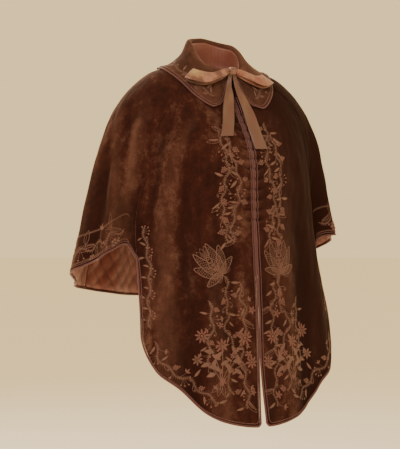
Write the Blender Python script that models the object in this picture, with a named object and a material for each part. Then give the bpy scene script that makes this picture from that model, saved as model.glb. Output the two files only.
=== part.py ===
"""A velvet shoulder cape with half sleeves, a turned-down collar and a ribbon bow, in its worn form.

The front faces -Y and +Z is up. The origin is where the shoulders of the wearer hold the cape: below the neck
seam, on the middle plane. Every panel lies on one surface, which cape_point works out from the stations.
"""

import math
from collections import namedtuple

import bmesh
import bpy
from mathutils import Vector

# Cloth and trim sizes, metres
VELVET = 0.0022
LINING = 0.0014
LINING_INSET = 0.002
GAP = 0.0003
PIPING_RADIUS = 0.0021
COLLAR_PIPING = 0.0018
COLLAR_WALL = 0.0026
RIBBON_WALL = 0.0011

# One row for each level of the cape, from the neck seam to the front hem. Half width at the side, how
# far back it lies and its height, then the front and the back profile on the middle plane. The fronts
# wrap closer round the body than the sleeves: their own half width, and the angle at which they end.
Station = namedtuple("Station", "side_x side_y side_z front_y front_z back_y back_z wrap_x wrap_end")
STATIONS = (
    Station(0.060, -0.036, 0.024, -0.084, -0.008, 0.016, 0.028, 0.060, 57),
    Station(0.120, -0.027, 0.018, -0.124, -0.064, 0.074, 0.016, 0.120, 57),
    Station(0.158, -0.018, 0.002, -0.170, -0.127, 0.112, -0.032, 0.158, 58),
    Station(0.209, -0.012, -0.044, -0.192, -0.182, 0.138, -0.100, 0.203, 58),
    Station(0.249, -0.012, -0.107, -0.196, -0.246, 0.151, -0.180, 0.228, 61),
    Station(0.284, -0.016, -0.200, -0.199, -0.324, 0.157, -0.275, 0.236, 66),
    Station(0.312, -0.020, -0.305, -0.206, -0.400, 0.162, -0.385, 0.235, 73),
    Station(0.340, -0.022, -0.425, -0.213, -0.488, 0.166, -0.492, 0.258, 65),
    Station(0.350, -0.022, -0.530, -0.220, -0.622, 0.168, -0.600, 0.290, 57),
    Station(0.356, -0.022, -0.630, -0.236, -0.750, 0.170, -0.690, 0.302, 57),
)
LAST = len(STATIONS) - 1

# Angles round the body, degrees: 0 at the centre front, 90 at the side, 180 at the centre back
FRONT_SEAM = 57.0
BACK_SEAM = 136.0
# How many degrees of the sleeve it takes to come out of the valley at the front seam
VALLEY = 17.0

# The lower edge of the sleeves and the back: angle, and the level in stations at the right and the
# left side. The left sleeve is drawn up a little.
Edge = namedtuple("Edge", "angle right left")
SLEEVE_EDGE = (
    Edge(57, 6.62, 6.60),
    Edge(61, 6.40, 6.42),
    Edge(66, 6.48, 6.36),
    Edge(74, 6.64, 6.36),
    Edge(87, 6.84, 6.52),
    Edge(104, 7.00, 6.68),
    Edge(118, 7.10, 6.80),
    Edge(136, 7.06, 6.92),
    Edge(180, 7.00, 7.00),
)
# How much closer to the body the left sleeve hangs at its edge
LEFT_SLEEVE_IN = 0.014
# How much lower the left side of the neck sits than the right
LEFT_NECK_DROP = 0.013
# The rounded hem of the fronts: where its curve starts at the outer edge, and how far the curve is
# flattened
HEM_START = 7.92
HEM_FLAT = 0.17
# Where along the hem that flattening lies, as a share of the panel's width, and half its width
HEM_FLAT_AT = 0.66
HEM_FLAT_WIDTH = 0.17
# How far above the hem line the panels end, which leaves the piping its room
HEM_ROOM = 2 * PIPING_RADIUS + 3 * GAP

# The largest folds: angle and half width in degrees, height in metres, and the levels where each one
# grows
Fold = namedtuple("Fold", "side angle width height start full")
BOTH, RIGHT, LEFT = 0, -1, 1
FOLDS = (
    Fold(BOTH, 67, 6.0, 0.010, 2.4, 5.2),
    Fold(BOTH, 80, 5.5, -0.009, 2.6, 6.4),
    Fold(RIGHT, 95, 7.5, 0.008, 2.2, 6.8),
    Fold(LEFT, 92, 7.0, 0.007, 2.6, 6.8),
    Fold(BOTH, 113, 7.5, -0.010, 2.8, 6.8),
    Fold(BOTH, 132, 8.0, 0.010, 2.4, 6.8),
    Fold(BOTH, 151, 7.0, -0.011, 2.6, 6.8),
    Fold(BOTH, 168, 8.0, 0.011, 2.8, 6.8),
    Fold(BOTH, 42, 6.0, 0.009, 3.0, 7.0),
    Fold(RIGHT, 30, 5.5, -0.007, 3.4, 7.6),
    Fold(RIGHT, 20, 6.0, 0.007, 4.2, 8.0),
    Fold(LEFT, 27, 6.0, -0.007, 3.2, 7.4),
)

# Half of the opening at the lowest point of the centre front, and the level where it starts
FRONT_PARTING = 0.0055
PARTING_START = 7.9

# Quilting of the lining: height of its puffs, and the first row below the neck that has them
PUFF = 0.0026
PUFF_ROW = 2

# Levels at which short lengths along the seams are turned into degrees: no closer to the neck than
# the first
NECK_LEVEL = 0.3
SEAM_LEVEL = 3.0

# Collar: height of the stand at the front and the back, the angles between which it rises, and the
# level where its outer edge lies
STAND_FRONT = 0.016
STAND_BACK = 0.052
STAND_RISE = (45, 115)
# How far the stand leans to the neck, as a share of its height, and its foot's place above and inside
# the seam
STAND_LEAN = -0.15
FOOT_UP = 0.0045
FOOT_IN = 0.001
# Section of the stand and the roll: shares of its height and lean, then how far down and out from there
Stand = namedtuple("Stand", "rise lean down out")
STAND = (
    Stand(0.62, 0.7, 0.0, 0.0),
    Stand(1.0, 1.0, 0.002, 0.0035),
    Stand(1.0, 1.0, 0.0015, 0.0125),
)
# Section of the fall: shares of the sideways lean and of the way down, how far it stands off the
# cape, and the share of the stand's height that lifts it there
Fall = namedtuple("Fall", "lean reach off rise")
FALL = (
    Fall(0.3, 0.30, 0.010, 0.25),
    Fall(0.6, 0.62, 0.0035, 0.0),
    Fall(0.85, 0.85, 0.001, 0.0),
    Fall(1.0, 1.0, 0.0, 0.0),
)
# Clear space between the fall and the cape, and how the columns spread from the front to the back
COLLAR_CLEAR = 0.0022
COLLAR_SPREAD = 1.15
Reach = namedtuple("Reach", "angle level")
COLLAR_EDGE = (
    Reach(3, 1.10),
    Reach(12, 1.36),
    Reach(24, 1.42),
    Reach(42, 1.41),
    Reach(62, 1.33),
    Reach(90, 1.17),
    Reach(135, 1.02),
    Reach(180, 1.00),
)
# How many degrees the collar's front edges lean away from the middle, from the neck to the point
COLLAR_LEAN = 17.0

# The facing inside the neck: the columns of the collar that it leaves bare at each front edge, and
# the share of the collar's depth where it ends
FACING_ENDS = 2
FACING_TOP = 0.22

# Bow: the knot's middle and size, and half the width of a tail where it comes out of the knot
KNOT = (0.0, -0.107, 0.013)
KNOT_SIZE = (0.020, 0.016, 0.017)
TAIL_ROOT = 0.005
# How far apart the two ends of a loop meet the knot, halved
LOOP_ROOT = 0.003
# Each loop: angle round the neck, share of the collar's depth, how far it stands off, and the
# ribbon's width
Loop = namedtuple("Loop", "angle share lift width")
LOOP = (
    Loop(18.0, 0.53, 0.018, 0.022),
    Loop(34.0, 0.64, 0.019, 0.030),
    Loop(49.0, 0.72, 0.017, 0.033),
    Loop(56.0, 0.75, 0.012, 0.032),
    Loop(49.0, 0.72, 0.006, 0.031),
    Loop(34.0, 0.64, 0.007, 0.029),
    Loop(18.0, 0.54, 0.009, 0.020),
)
# How far a loop's narrow rows turn upright, and half the share of the collar over which its slope is
# taken
UPRIGHT = 0.6
SLOPE = 0.1
# Each tail below the knot: where it lies on the cape, how far it stands off, and its width
Tail = namedtuple("Tail", "angle level lift width")
TAIL_RIGHT = (
    Tail(7.0, 0.42, 0.0148, 0.014),
    Tail(10.5, 0.80, 0.0142, 0.024),
    Tail(14.5, 1.25, 0.013, 0.029),
    Tail(17.0, 1.75, 0.009, 0.030),
    Tail(19.0, 2.30, 0.007, 0.031),
)
TAIL_LEFT = (
    Tail(6.6, 0.42, 0.0153, 0.014),
    Tail(6.4, 0.85, 0.0148, 0.022),
    Tail(6.2, 1.35, 0.013, 0.028),
    Tail(5.8, 1.95, 0.009, 0.029),
    Tail(6.6, 2.58, 0.007, 0.030),
)

# Grid steps across and down. The fronts have two runs of rows: to the sleeve's edge, and on to the hem.
FRONT_GRID = (12, 12, 8)
SLEEVE_GRID = (16, 12)
BACK_GRID = (14, 12)
COLLAR_GRID = (36, 7)
LOOP_GRID = (16, 2)
TAIL_GRID = (10, 2)

# Colour, roughness and sheen of each material
Finish = namedtuple("Finish", "color roughness sheen")
FINISHES = {
    "velvet": Finish((0.055, 0.018, 0.010), 0.85, 0.35),
    "lining": Finish((0.255, 0.062, 0.045), 0.60, 0.10),
    "piping": Finish((0.200, 0.058, 0.058), 0.60, 0.10),
    "ribbon": Finish((0.340, 0.150, 0.110), 0.45, 0.10),
}


def clear_scene():
    for obj in list(bpy.data.objects):
        bpy.data.objects.remove(obj, do_unlink=True)


def smooth_step(low, high, value):
    """0 below low, 1 above high, and an even S between them."""
    share = min(max((value - low) / (high - low), 0.0), 1.0)
    return share * share * (3 - 2 * share)


def spline(rows, level):
    """Smooth values between the rows of a table, at a level counted in rows."""
    level = min(max(level, 0.0), len(rows) - 1.0)
    first = min(int(level), len(rows) - 2)
    share = level - first
    before, start, end, after = (rows[min(max(first + k, 0), len(rows) - 1)] for k in (-1, 0, 1, 2))
    values = []
    for a, b, c, d in zip(before, start, end, after):
        bend = (2 * a - 5 * b + 4 * c - d) * share + (3 * b - a - 3 * c + d) * share * share
        values.append(b + 0.5 * share * ((c - a) + bend))
    return values


def table_value(rows, angle, column=1):
    """One column of a table at an angle, eased between rows so that the curve has no corner."""
    angle = min(max(angle, rows[0][0]), rows[-1][0])
    for index in range(len(rows) - 1):
        if angle <= rows[index + 1][0]:
            break
    share = (angle - rows[index][0]) / (rows[index + 1][0] - rows[index][0])
    return spline([(row[column],) for row in rows], index + share)[0]


def fold_height(side, angle, level):
    total = 0.0
    for fold in FOLDS:
        if fold.side in (BOTH, side):
            across = math.exp(-(((angle - fold.angle) / fold.width) ** 2))
            total += fold.height * across * smooth_step(fold.start, fold.full, level)
    return total


def side_width(side, row, level):
    """Half width of the sleeves' ring."""
    drawn_in = LEFT_SLEEVE_IN * smooth_step(2.0, 6.5, level) if side == LEFT else 0.0
    return row.side_x - drawn_in


def ring_point(side, row, half_width, angle, level):
    """A place on the level ring of a station row, at a true angle."""
    turn = math.radians(angle)
    sine, cosine = math.sin(turn), math.cos(turn)
    end_y, end_z = (row.front_y, row.front_z) if cosine >= 0 else (row.back_y, row.back_z)
    drop = LEFT_NECK_DROP * sine * (1 - smooth_step(0.8, 3.0, level)) if side == LEFT else 0.0
    return Vector((
        side * half_width * sine,
        row.side_y + (end_y - row.side_y) * abs(cosine),
        row.side_z + (end_z - row.side_z) * cosine * cosine - drop,
    ))


def cape_point(side, angle, level):
    """The outer face of the cape. side is -1 at the wearer's right and 1 at the left."""
    row = Station(*spline(STATIONS, level))
    if angle <= FRONT_SEAM:
        point = ring_point(side, row, row.wrap_x, angle * row.wrap_end / FRONT_SEAM, level)
    else:
        half_width = side_width(side, row, level)
        point = ring_point(side, row, half_width, angle, level)
        seam = ring_point(side, row, row.wrap_x, row.wrap_end, level)
        step_in = seam - ring_point(side, row, half_width, FRONT_SEAM, level)
        point += step_in * (1 - smooth_step(FRONT_SEAM, FRONT_SEAM + VALLEY, angle))
    turn = math.radians(angle)
    out = Vector((side * math.sin(turn), -math.cos(turn), 0.0))
    return point + out * fold_height(side, angle, level)


def cape_normal(side, angle, level):
    """The direction away from the body at a place on the cape."""
    step = 0.05
    low, high = max(level - step, 0.0), min(level + step, LAST)
    down = cape_point(side, angle, high) - cape_point(side, angle, low)
    across = cape_point(side, angle + 1.0, level) - cape_point(side, angle - 1.0, level)
    return (down.cross(across) * side).normalized()


def placed(side, angle, level, depth):
    """A point under the outer face by a depth, or above it where the depth is negative."""
    return cape_point(side, angle, level) - cape_normal(side, angle, level) * depth


def angle_of(side, angle, level, length):
    """How many degrees round the cape a short length takes."""
    chord = (cape_point(side, angle + 1.0, level) - cape_point(side, angle, level)).length
    return length / chord


def level_of(side, angle, level, length):
    """How many stations down the cape a short length takes."""
    step = 0.1
    chord = (cape_point(side, angle, level) - cape_point(side, angle, level - step)).length
    return length * step / chord


def new_object(name, bm, finish, collection):
    mesh = bpy.data.meshes.new(name)
    bm.to_mesh(mesh)
    bm.free()
    mesh.shade_smooth()
    mesh.set_sharp_from_angle(angle=math.radians(50))
    obj = bpy.data.objects.new(name, mesh)
    mesh.materials.append(material(finish))
    collection.objects.link(obj)
    return obj


def material(name):
    """The Principled material of a finish, made once."""
    found = bpy.data.materials.get(name)
    if found:
        return found
    made = bpy.data.materials.new(name)
    made.use_nodes = True
    shader = made.node_tree.nodes["Principled BSDF"]
    finish = FINISHES[name]
    shader.inputs["Base Color"].default_value = (*finish.color, 1.0)
    shader.inputs["Roughness"].default_value = finish.roughness
    shader.inputs["Metallic"].default_value = 0.0
    shader.inputs["Sheen Weight"].default_value = finish.sheen
    return made


def wall(name, steps, outer, inner, finish, collection):
    """A closed wall: a grid laid on the outer face and extruded to the inner face."""
    bm = bmesh.new()
    bmesh.ops.create_grid(bm, x_segments=steps[0], y_segments=steps[1], size=0.5)
    faces = list(bm.faces)
    places = [(v, v.co.x + 0.5, v.co.y + 0.5) for v in bm.verts]
    raised = bmesh.ops.extrude_face_region(bm, geom=faces)["geom"]
    copies = [item for item in raised if isinstance(item, bmesh.types.BMVert)]
    behind = [(v, v.co.x + 0.5, v.co.y + 0.5) for v in copies]
    for vert, u, v in places:
        vert.co = outer(u, v)
    for vert, u, v in behind:
        vert.co = inner(u, v)
    if bm.calc_volume(signed=True) < 0:
        bmesh.ops.reverse_faces(bm, faces=bm.faces)
    return new_object(name, bm, finish, collection)


def sleeve_level(side, angle):
    """The level of the lower edge of a sleeve or the back."""
    column = 1 if side == RIGHT else 2
    return table_value(SLEEVE_EDGE, angle, column)


def front_level(share):
    """The level of the front hem, for a share of the way from the centre front to the outer edge."""
    corner = math.asin(min(share, 1.0))
    flat = HEM_FLAT * math.exp(-(((share - HEM_FLAT_AT) / HEM_FLAT_WIDTH) ** 2))
    return HEM_START + (LAST - HEM_START) * math.cos(corner) - flat


def parting(level):
    """How far each centre front edge stands from the middle plane."""
    opening = FRONT_PARTING * smooth_step(PARTING_START, LAST, level)
    return PIPING_RADIUS * 2 + GAP * 4 + opening


def border(side, angle, level, u, inset):
    """The angle of a grid column, with the first and the last moved in from the panel's edge."""
    shift = angle_of(side, angle, max(level, NECK_LEVEL), inset)
    if u < 0.001:
        return angle + shift
    return angle - shift if u > 0.999 else angle


def build_front(side, name, depths, finish, collection, puffs=False, inset=0.0):
    """A long front: level rows down to the sleeve's edge, then rows that fan out to the rounded hem."""
    across, upper, lower = FRONT_GRID
    meet = sleeve_level(side, FRONT_SEAM)

    def place(u, v, depth):
        row = round(v * (upper + lower))
        share = math.sin(u * math.pi / 2)
        edge = front_level(share)
        room = HEM_ROOM + (inset if row == upper + lower else 0.0)
        hem = edge - level_of(side, FRONT_SEAM * share, edge, room)
        level = meet * row / upper if row <= upper else meet + (hem - meet) * (row - upper) / lower
        inner_angle = angle_of(side, 0.0, max(level, NECK_LEVEL), parting(level))
        seam_room = GAP / 2 if row < upper else PIPING_RADIUS + 3 * GAP
        outer_angle = FRONT_SEAM - angle_of(side, FRONT_SEAM, level, seam_room)
        angle = inner_angle + (outer_angle - inner_angle) * share
        return placed(side, border(side, angle, level, u, inset), level, depth)

    near, far = depths
    raise_by = PUFF if puffs else 0.0

    def outer(u, v):
        return place(u, v, near)

    def inner(u, v):
        lift = raise_by * quilt(u * across, v * (upper + lower))
        return place(u, v, far + lift)

    return wall(name, (across, upper + lower), outer, inner, finish, collection)


def quilt(column, row):
    """Height of the quilting at a grid point: raised at every other point, flat at the neck."""
    return 1.0 if round(row) >= PUFF_ROW and (round(column) + round(row)) % 2 else 0.0


def build_band(side, name, angles, steps, depths, finish, collection, puffs=False, inset=0.0):
    """A sleeve or a half of the back, between two seams and down to the sleeve's edge."""
    start, end = angles
    across, rows = steps

    def place(u, v, depth):
        first = start + angle_of(side, start, SEAM_LEVEL, GAP / 2)
        last = end - angle_of(side, end, SEAM_LEVEL, GAP / 2)
        angle = first + (last - first) * u
        edge = sleeve_level(side, start + (end - start) * u)
        level = edge * v
        if v > 0.999:
            level -= level_of(side, angle, edge, HEM_ROOM + inset)
        return placed(side, border(side, angle, level, u, inset), level, depth)

    near, far = depths
    raise_by = PUFF if puffs else 0.0

    def outer(u, v):
        return place(u, v, near)

    def inner(u, v):
        lift = raise_by * quilt(u * across, v * rows)
        return place(u, v, far + lift)

    return wall(name, (across, rows), outer, inner, finish, collection)


def build_back(name, depths, finish, collection, puffs=False, inset=0.0):
    """The back in one piece, from the right seam over the middle to the left seam."""
    across, rows = BACK_GRID

    def place(u, v, depth):
        side = RIGHT if u < 0.5 else LEFT
        share = abs(2 * u - 1)
        start = BACK_SEAM + angle_of(side, BACK_SEAM, SEAM_LEVEL, GAP / 2)
        angle = 180.0 + (start - 180.0) * share
        edge = sleeve_level(side, 180.0 + (BACK_SEAM - 180.0) * share)
        level = edge * v
        if v > 0.999:
            level -= level_of(side, angle, edge, HEM_ROOM + inset)
        if share > 0.999:
            angle += angle_of(side, angle, max(level, NECK_LEVEL), inset)
        return placed(side, angle, level, depth)

    near, far = depths
    raise_by = PUFF if puffs else 0.0

    def outer(u, v):
        return place(u, v, near)

    def inner(u, v):
        lift = raise_by * quilt(u * across, v * rows)
        return place(u, v, far + lift)

    return wall(name, BACK_GRID, outer, inner, finish, collection)


def collar_turn(u):
    """The side and the angle of a place along the collar, which runs from right front to left front."""
    side = RIGHT if u < 0.5 else LEFT
    share = 1 - abs(2 * u - 1)
    return side, COLLAR_EDGE[0].angle + (180.0 - COLLAR_EDGE[0].angle) * share ** COLLAR_SPREAD


def collar_section(side, angle):
    """Points of the collar's outer face, from the neck seam up over the roll and down to the edge."""
    turn = math.radians(angle)
    out = Vector((side * math.sin(turn), -math.cos(turn), 0.0))
    up = Vector((0.0, 0.0, 1.0))
    rise = STAND_FRONT + (STAND_BACK - STAND_FRONT) * smooth_step(*STAND_RISE, angle)
    edge = table_value(COLLAR_EDGE, angle)
    above = COLLAR_WALL + COLLAR_CLEAR
    lean_by = COLLAR_LEAN * (1 - smooth_step(3, 70, angle))
    foot = cape_point(side, angle, 0.0) + up * FOOT_UP - out * FOOT_IN
    points = [foot]
    for row in STAND:
        away = STAND_LEAN * rise * row.lean + row.out
        points.append(foot + up * (rise * row.rise - row.down) + out * away)
    for row in FALL:
        place = placed(side, angle + lean_by * row.lean, edge * row.reach, -above - row.off)
        points.append(place + up * row.rise * rise)
    return points


def collar_place(u, v, depth):
    """A point of the collar, a depth under its outer face."""
    side, angle = collar_turn(u)
    return collar_at(side, angle, v, depth)


def collar_at(side, angle, v, depth):
    """The same at an angle round the neck. v runs from the neck seam over the roll to the edge."""
    rows = collar_section(side, angle)
    last = len(rows) - 1
    here = Vector(spline(rows, v * last))
    step = 0.03
    down = Vector(spline(rows, min(v + step, 1.0) * last)) - Vector(spline(rows, max(v - step, 0.0) * last))
    ahead, behind = collar_section(side, min(angle + 2.0, 180.0)), collar_section(side, angle - 2.0)
    across = Vector(spline(ahead, v * last)) - Vector(spline(behind, v * last))
    normal = (down.cross(across) * side).normalized()
    return here - normal * depth


def build_collar(side, name, collection):
    """One half of the collar, from its front edge to the seam at the centre back."""
    def place(u, v, depth):
        spot = collar_place(u / 2 if side == RIGHT else (1 + u) / 2, v, depth)
        if (u > 0.999) if side == RIGHT else (u < 0.001):
            spot.x = side * GAP / 2
        return spot

    def outer(u, v):
        return place(u, v, 0.0)

    def inner(u, v):
        return place(u, v, COLLAR_WALL)

    columns, rows = COLLAR_GRID
    return wall(name, (columns // 2, rows), outer, inner, "velvet", collection)


def build_collar_facing(collection):
    """The lining on the neck side of the collar's stand, on the collar's own columns and rows."""
    columns, rows = COLLAR_GRID
    levels = (0.03, 1 / rows, FACING_TOP)

    def place(u, v, lift):
        column = FACING_ENDS + (columns - 2 * FACING_ENDS) * u
        return collar_place(column / columns, levels[round(v * 2)], -lift)

    def outer(u, v):
        return place(u, v, GAP)

    def inner(u, v):
        return place(u, v, GAP + LINING)

    return wall("collar_facing", (columns - 2 * FACING_ENDS, 2), outer, inner, "lining", collection)


def tube(name, points, radius, finish, collection, cyclic=False):
    """A round cord through the points, with its ends closed."""
    curve = bpy.data.curves.new(name, "CURVE")
    curve.dimensions = "3D"
    curve.bevel_depth = radius
    curve.bevel_resolution = 1
    curve.use_fill_caps = not cyclic
    line = curve.splines.new("POLY")
    line.points.add(len(points) - 1)
    for spot, point in zip(line.points, points):
        spot.co = (*point, 1.0)
    line.use_cyclic_u = cyclic
    curve.materials.append(material(finish))
    obj = bpy.data.objects.new(name, curve)
    collection.objects.link(obj)
    return obj


def edge_path(side):
    """The line of the piping along one side's free edges, from the neck at the front to the centre back."""
    across, upper, lower = FRONT_GRID
    depth = VELVET / 2
    meet = sleeve_level(side, FRONT_SEAM)
    points = []
    for row in range(1, upper + lower):
        level = meet * row / upper if row <= upper else meet + (LAST - meet) * (row - upper) / lower
        inward = parting(level) - PIPING_RADIUS - 3 * GAP
        points.append(placed(side, angle_of(side, 0.0, level, inward), level, depth))
    for column in range(across + 1):
        share = math.sin(column / across * math.pi / 2)
        level = front_level(share)
        level -= level_of(side, FRONT_SEAM * share, level, PIPING_RADIUS)
        inner_angle = angle_of(side, 0.0, level, parting(level) - PIPING_RADIUS - 3 * GAP)
        points.append(placed(side, inner_angle + (FRONT_SEAM - inner_angle) * share, level, depth))
    for row in range(lower - 1, 0, -1):
        level = meet + (HEM_START - meet) * row / lower
        points.append(placed(side, FRONT_SEAM, level, depth))
    points.append(placed(side, FRONT_SEAM, meet, depth))
    columns = SLEEVE_GRID[0]
    angles = [FRONT_SEAM + (BACK_SEAM - FRONT_SEAM) * k / columns for k in range(1, columns + 1)]
    half = BACK_GRID[0] // 2
    angles += [BACK_SEAM + (180.0 - BACK_SEAM) * k / half for k in range(1, half)]
    angles.append(180.0 - angle_of(side, 179.0, 7.0, GAP / 2))
    for angle in angles:
        level = sleeve_level(side, angle)
        points.append(placed(side, angle, level - level_of(side, angle, level, PIPING_RADIUS), depth))
    return points


def collar_path():
    """The line of the piping round the collar, from one front edge to the other."""
    away = COLLAR_PIPING + 5 * GAP
    depth = COLLAR_WALL / 2
    columns, rows = COLLAR_GRID
    left, right = [], []
    for row in range(3, rows):
        v = row / rows
        for u, near, line in ((0.0, 0.01, right), (1.0, 0.99, left)):
            edge = collar_place(u, v, depth)
            line.append(edge + (edge - collar_place(near, v, depth)).normalized() * away)
    outer = []
    for column in range(columns + 1):
        u = column / columns
        edge = collar_place(u, 1.0, depth)
        out = (edge - collar_place(u, 0.96, depth)).normalized()
        if column in (0, columns):
            inside = collar_place(0.01 if column == 0 else 0.99, 1.0, depth)
            out += (edge - inside).normalized()
        outer.append(edge + out * away)
    return right + outer + left[::-1]


def strip(name, rows, steps, wall_thickness, finish, collection):
    """A ribbon along its rows: each has a centre, a direction across and a width."""
    def middle(share):
        values = spline(rows, share * (len(rows) - 1))
        return Vector(values[0:3]), Vector(values[3:6]).normalized(), values[6]

    def place(u, v, depth):
        centre, across, width = middle(u)
        ahead, behind = middle(min(u + 0.02, 1.0))[0], middle(max(u - 0.02, 0.0))[0]
        normal = (ahead - behind).cross(across).normalized()
        return centre + across * width * (v - 0.5) + normal * depth

    def outer(u, v):
        return place(u, v, wall_thickness / 2)

    def inner(u, v):
        return place(u, v, -wall_thickness / 2)

    return wall(name, steps, outer, inner, finish, collection)


def loop_rows(side):
    """The rows of one loop: out from the knot over the collar, round its end and back behind itself."""
    widest = max(spot.width for spot in LOOP)
    rows = []
    for spot in LOOP:
        centre = collar_at(side, spot.angle, spot.share, -spot.lift)
        above = collar_at(side, spot.angle, spot.share - SLOPE, 0.0)
        across = (above - collar_at(side, spot.angle, spot.share + SLOPE, 0.0)).normalized()
        across += Vector((0.0, 0.0, UPRIGHT * (1 - spot.width / widest)))
        rows.append((*centre, *across.normalized(), spot.width))
    ends = []
    for front in (-LOOP_ROOT, LOOP_ROOT):
        root = Vector((side * KNOT_SIZE[0] / 2, KNOT[1] + front, KNOT[2]))
        ends.append((*root, 0.0, 0.0, 1.0, 2 * TAIL_ROOT))
    return ends[:1] + rows + ends[1:]


def tail_rows(side, table):
    """The rows of one hanging tail: from under the knot, then a little clear of the cape."""
    root = Vector((side * TAIL_ROOT, KNOT[1], KNOT[2] - KNOT_SIZE[2] / 2 - GAP))
    rows = [(*root, 1.0, 0.0, 0.0, 2 * TAIL_ROOT - 2 * GAP)]
    for spot in table:
        centre = placed(side, spot.angle, spot.level, -spot.lift)
        normal = cape_normal(side, spot.angle, spot.level)
        across = Vector((1.0, 0.0, 0.0))
        across -= normal * across.dot(normal)
        rows.append((*centre, *across.normalized(), spot.width))
    return rows


def build_knot(collection):
    """The knot: a rounded lump, slightly wider than high."""
    bm = bmesh.new()
    bmesh.ops.create_uvsphere(bm, u_segments=12, v_segments=8, radius=0.5)
    for vert in bm.verts:
        vert.co.x *= KNOT_SIZE[0]
        vert.co.y *= KNOT_SIZE[1]
        vert.co.z *= KNOT_SIZE[2]
        vert.co += Vector(KNOT)
    return new_object("ribbon_knot", bm, "ribbon", collection)


def main():
    clear_scene()
    collection = bpy.data.collections.new("velvet_cape")
    bpy.context.scene.collection.children.link(collection)
    velvet = (0.0, VELVET)
    lining = (VELVET + 2 * GAP, VELVET + 2 * GAP + LINING)
    sleeve_angles = (FRONT_SEAM, BACK_SEAM)
    for side, word in ((RIGHT, "right"), (LEFT, "left")):
        build_front(side, "front_" + word, velvet, "velvet", collection)
        build_front(side, "lining_front_" + word, lining, "lining", collection, inset=LINING_INSET)
        build_band(side, "sleeve_" + word, sleeve_angles, SLEEVE_GRID, velvet, "velvet", collection)
        build_band(
            side, "lining_sleeve_" + word, sleeve_angles, SLEEVE_GRID, lining, "lining", collection,
            puffs=True, inset=LINING_INSET)
        tube("piping_" + word, edge_path(side), PIPING_RADIUS, "piping", collection)
        build_collar(side, "collar_" + word, collection)
        strip("ribbon_loop_" + word, loop_rows(side), LOOP_GRID, RIBBON_WALL, "ribbon", collection)
    build_back("back", velvet, "velvet", collection)
    build_back("lining_back", lining, "lining", collection, puffs=True, inset=LINING_INSET)
    build_collar_facing(collection)
    tube("piping_collar", collar_path(), COLLAR_PIPING, "piping", collection)
    build_knot(collection)
    strip("ribbon_tail_right", tail_rows(RIGHT, TAIL_RIGHT), TAIL_GRID, RIBBON_WALL, "ribbon", collection)
    strip("ribbon_tail_left", tail_rows(LEFT, TAIL_LEFT), TAIL_GRID, RIBBON_WALL, "ribbon", collection)


main()
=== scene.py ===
"""The dressed cape: velvet panels, quilted lining, collar, piping, ribbon bow and embroidery.

Every panel lies on one surface, the Drape, which is worked out from a table of stations. The wearer's right is
at -X, the front faces -Y and +Z is up. Angles go round the body in degrees, from 0 at the centre front to 180 at
the centre back. Levels count the stations from the neck seam at 0 to the front hem at 9. Lengths are metres.
"""

import logging
import math
import random
from collections.abc import Callable, Sequence
from dataclasses import dataclass, field, replace
from enum import Enum
import bmesh
import bpy
import numpy as np
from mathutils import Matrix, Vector


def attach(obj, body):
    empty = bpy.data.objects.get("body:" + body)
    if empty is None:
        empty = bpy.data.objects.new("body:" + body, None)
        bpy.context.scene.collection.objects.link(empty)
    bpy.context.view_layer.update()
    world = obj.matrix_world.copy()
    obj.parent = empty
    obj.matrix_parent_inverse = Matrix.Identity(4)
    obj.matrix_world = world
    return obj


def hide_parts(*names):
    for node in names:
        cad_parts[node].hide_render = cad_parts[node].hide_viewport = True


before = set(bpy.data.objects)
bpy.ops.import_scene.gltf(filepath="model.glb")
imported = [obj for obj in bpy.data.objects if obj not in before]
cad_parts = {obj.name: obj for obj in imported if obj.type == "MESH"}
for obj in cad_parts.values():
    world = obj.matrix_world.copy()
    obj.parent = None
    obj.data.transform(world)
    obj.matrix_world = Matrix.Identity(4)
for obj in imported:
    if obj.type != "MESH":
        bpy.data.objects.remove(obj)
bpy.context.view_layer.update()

log = logging.getLogger("cape")
Array = np.ndarray
BODY = "root"

# Half width at the side, how far back it lies, its height, the front and the back profile, and the fronts' own
# half width with the angle at which they end
STATIONS = np.array([
    (0.060, -0.036, 0.024, -0.084, -0.008, 0.016, 0.028, 0.060, 57),
    (0.120, -0.027, 0.018, -0.124, -0.064, 0.074, 0.016, 0.120, 57),
    (0.158, -0.018, 0.002, -0.170, -0.127, 0.112, -0.032, 0.158, 58),
    (0.209, -0.012, -0.044, -0.192, -0.182, 0.138, -0.100, 0.203, 58),
    (0.249, -0.012, -0.107, -0.196, -0.246, 0.151, -0.180, 0.228, 61),
    (0.284, -0.016, -0.200, -0.199, -0.324, 0.157, -0.275, 0.236, 66),
    (0.312, -0.020, -0.305, -0.206, -0.400, 0.162, -0.385, 0.235, 73),
    (0.340, -0.022, -0.425, -0.213, -0.488, 0.166, -0.492, 0.258, 65),
    (0.350, -0.022, -0.530, -0.220, -0.622, 0.168, -0.600, 0.290, 57),
    (0.356, -0.022, -0.630, -0.236, -0.750, 0.170, -0.690, 0.302, 57),
])
LAST = len(STATIONS) - 1.0
FRONT_SEAM = 57.0
BACK_SEAM = 136.0
VALLEY = 17.0
SLEEVE_EDGE = np.array([
    (57, 6.62, 6.60), (61, 6.40, 6.42), (66, 6.48, 6.36), (74, 6.64, 6.36), (87, 6.84, 6.52),
    (104, 7.00, 6.68), (118, 7.10, 6.80), (136, 7.06, 6.92), (180, 7.00, 7.00),
])
LEFT_SLEEVE_IN = 0.014
LEFT_NECK_DROP = 0.013
HEM_START = 7.92
HEM_FLAT = 0.17
HEM_FLAT_AT = 0.66
HEM_FLAT_WIDTH = 0.17
FRONT_PARTING = 0.0055
PARTING_START = 7.9
COLLAR_EDGE = np.array([
    (3, 1.10), (12, 1.36), (24, 1.42), (42, 1.41), (62, 1.33), (90, 1.17), (135, 1.02), (180, 1.00),
])

PIPING_RADIUS = 0.0021
COLLAR_PIPING = 0.0018
COLLAR_WALL = 0.0026
SEAM_GAP = 0.0003
VELVET = 0.0022


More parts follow.
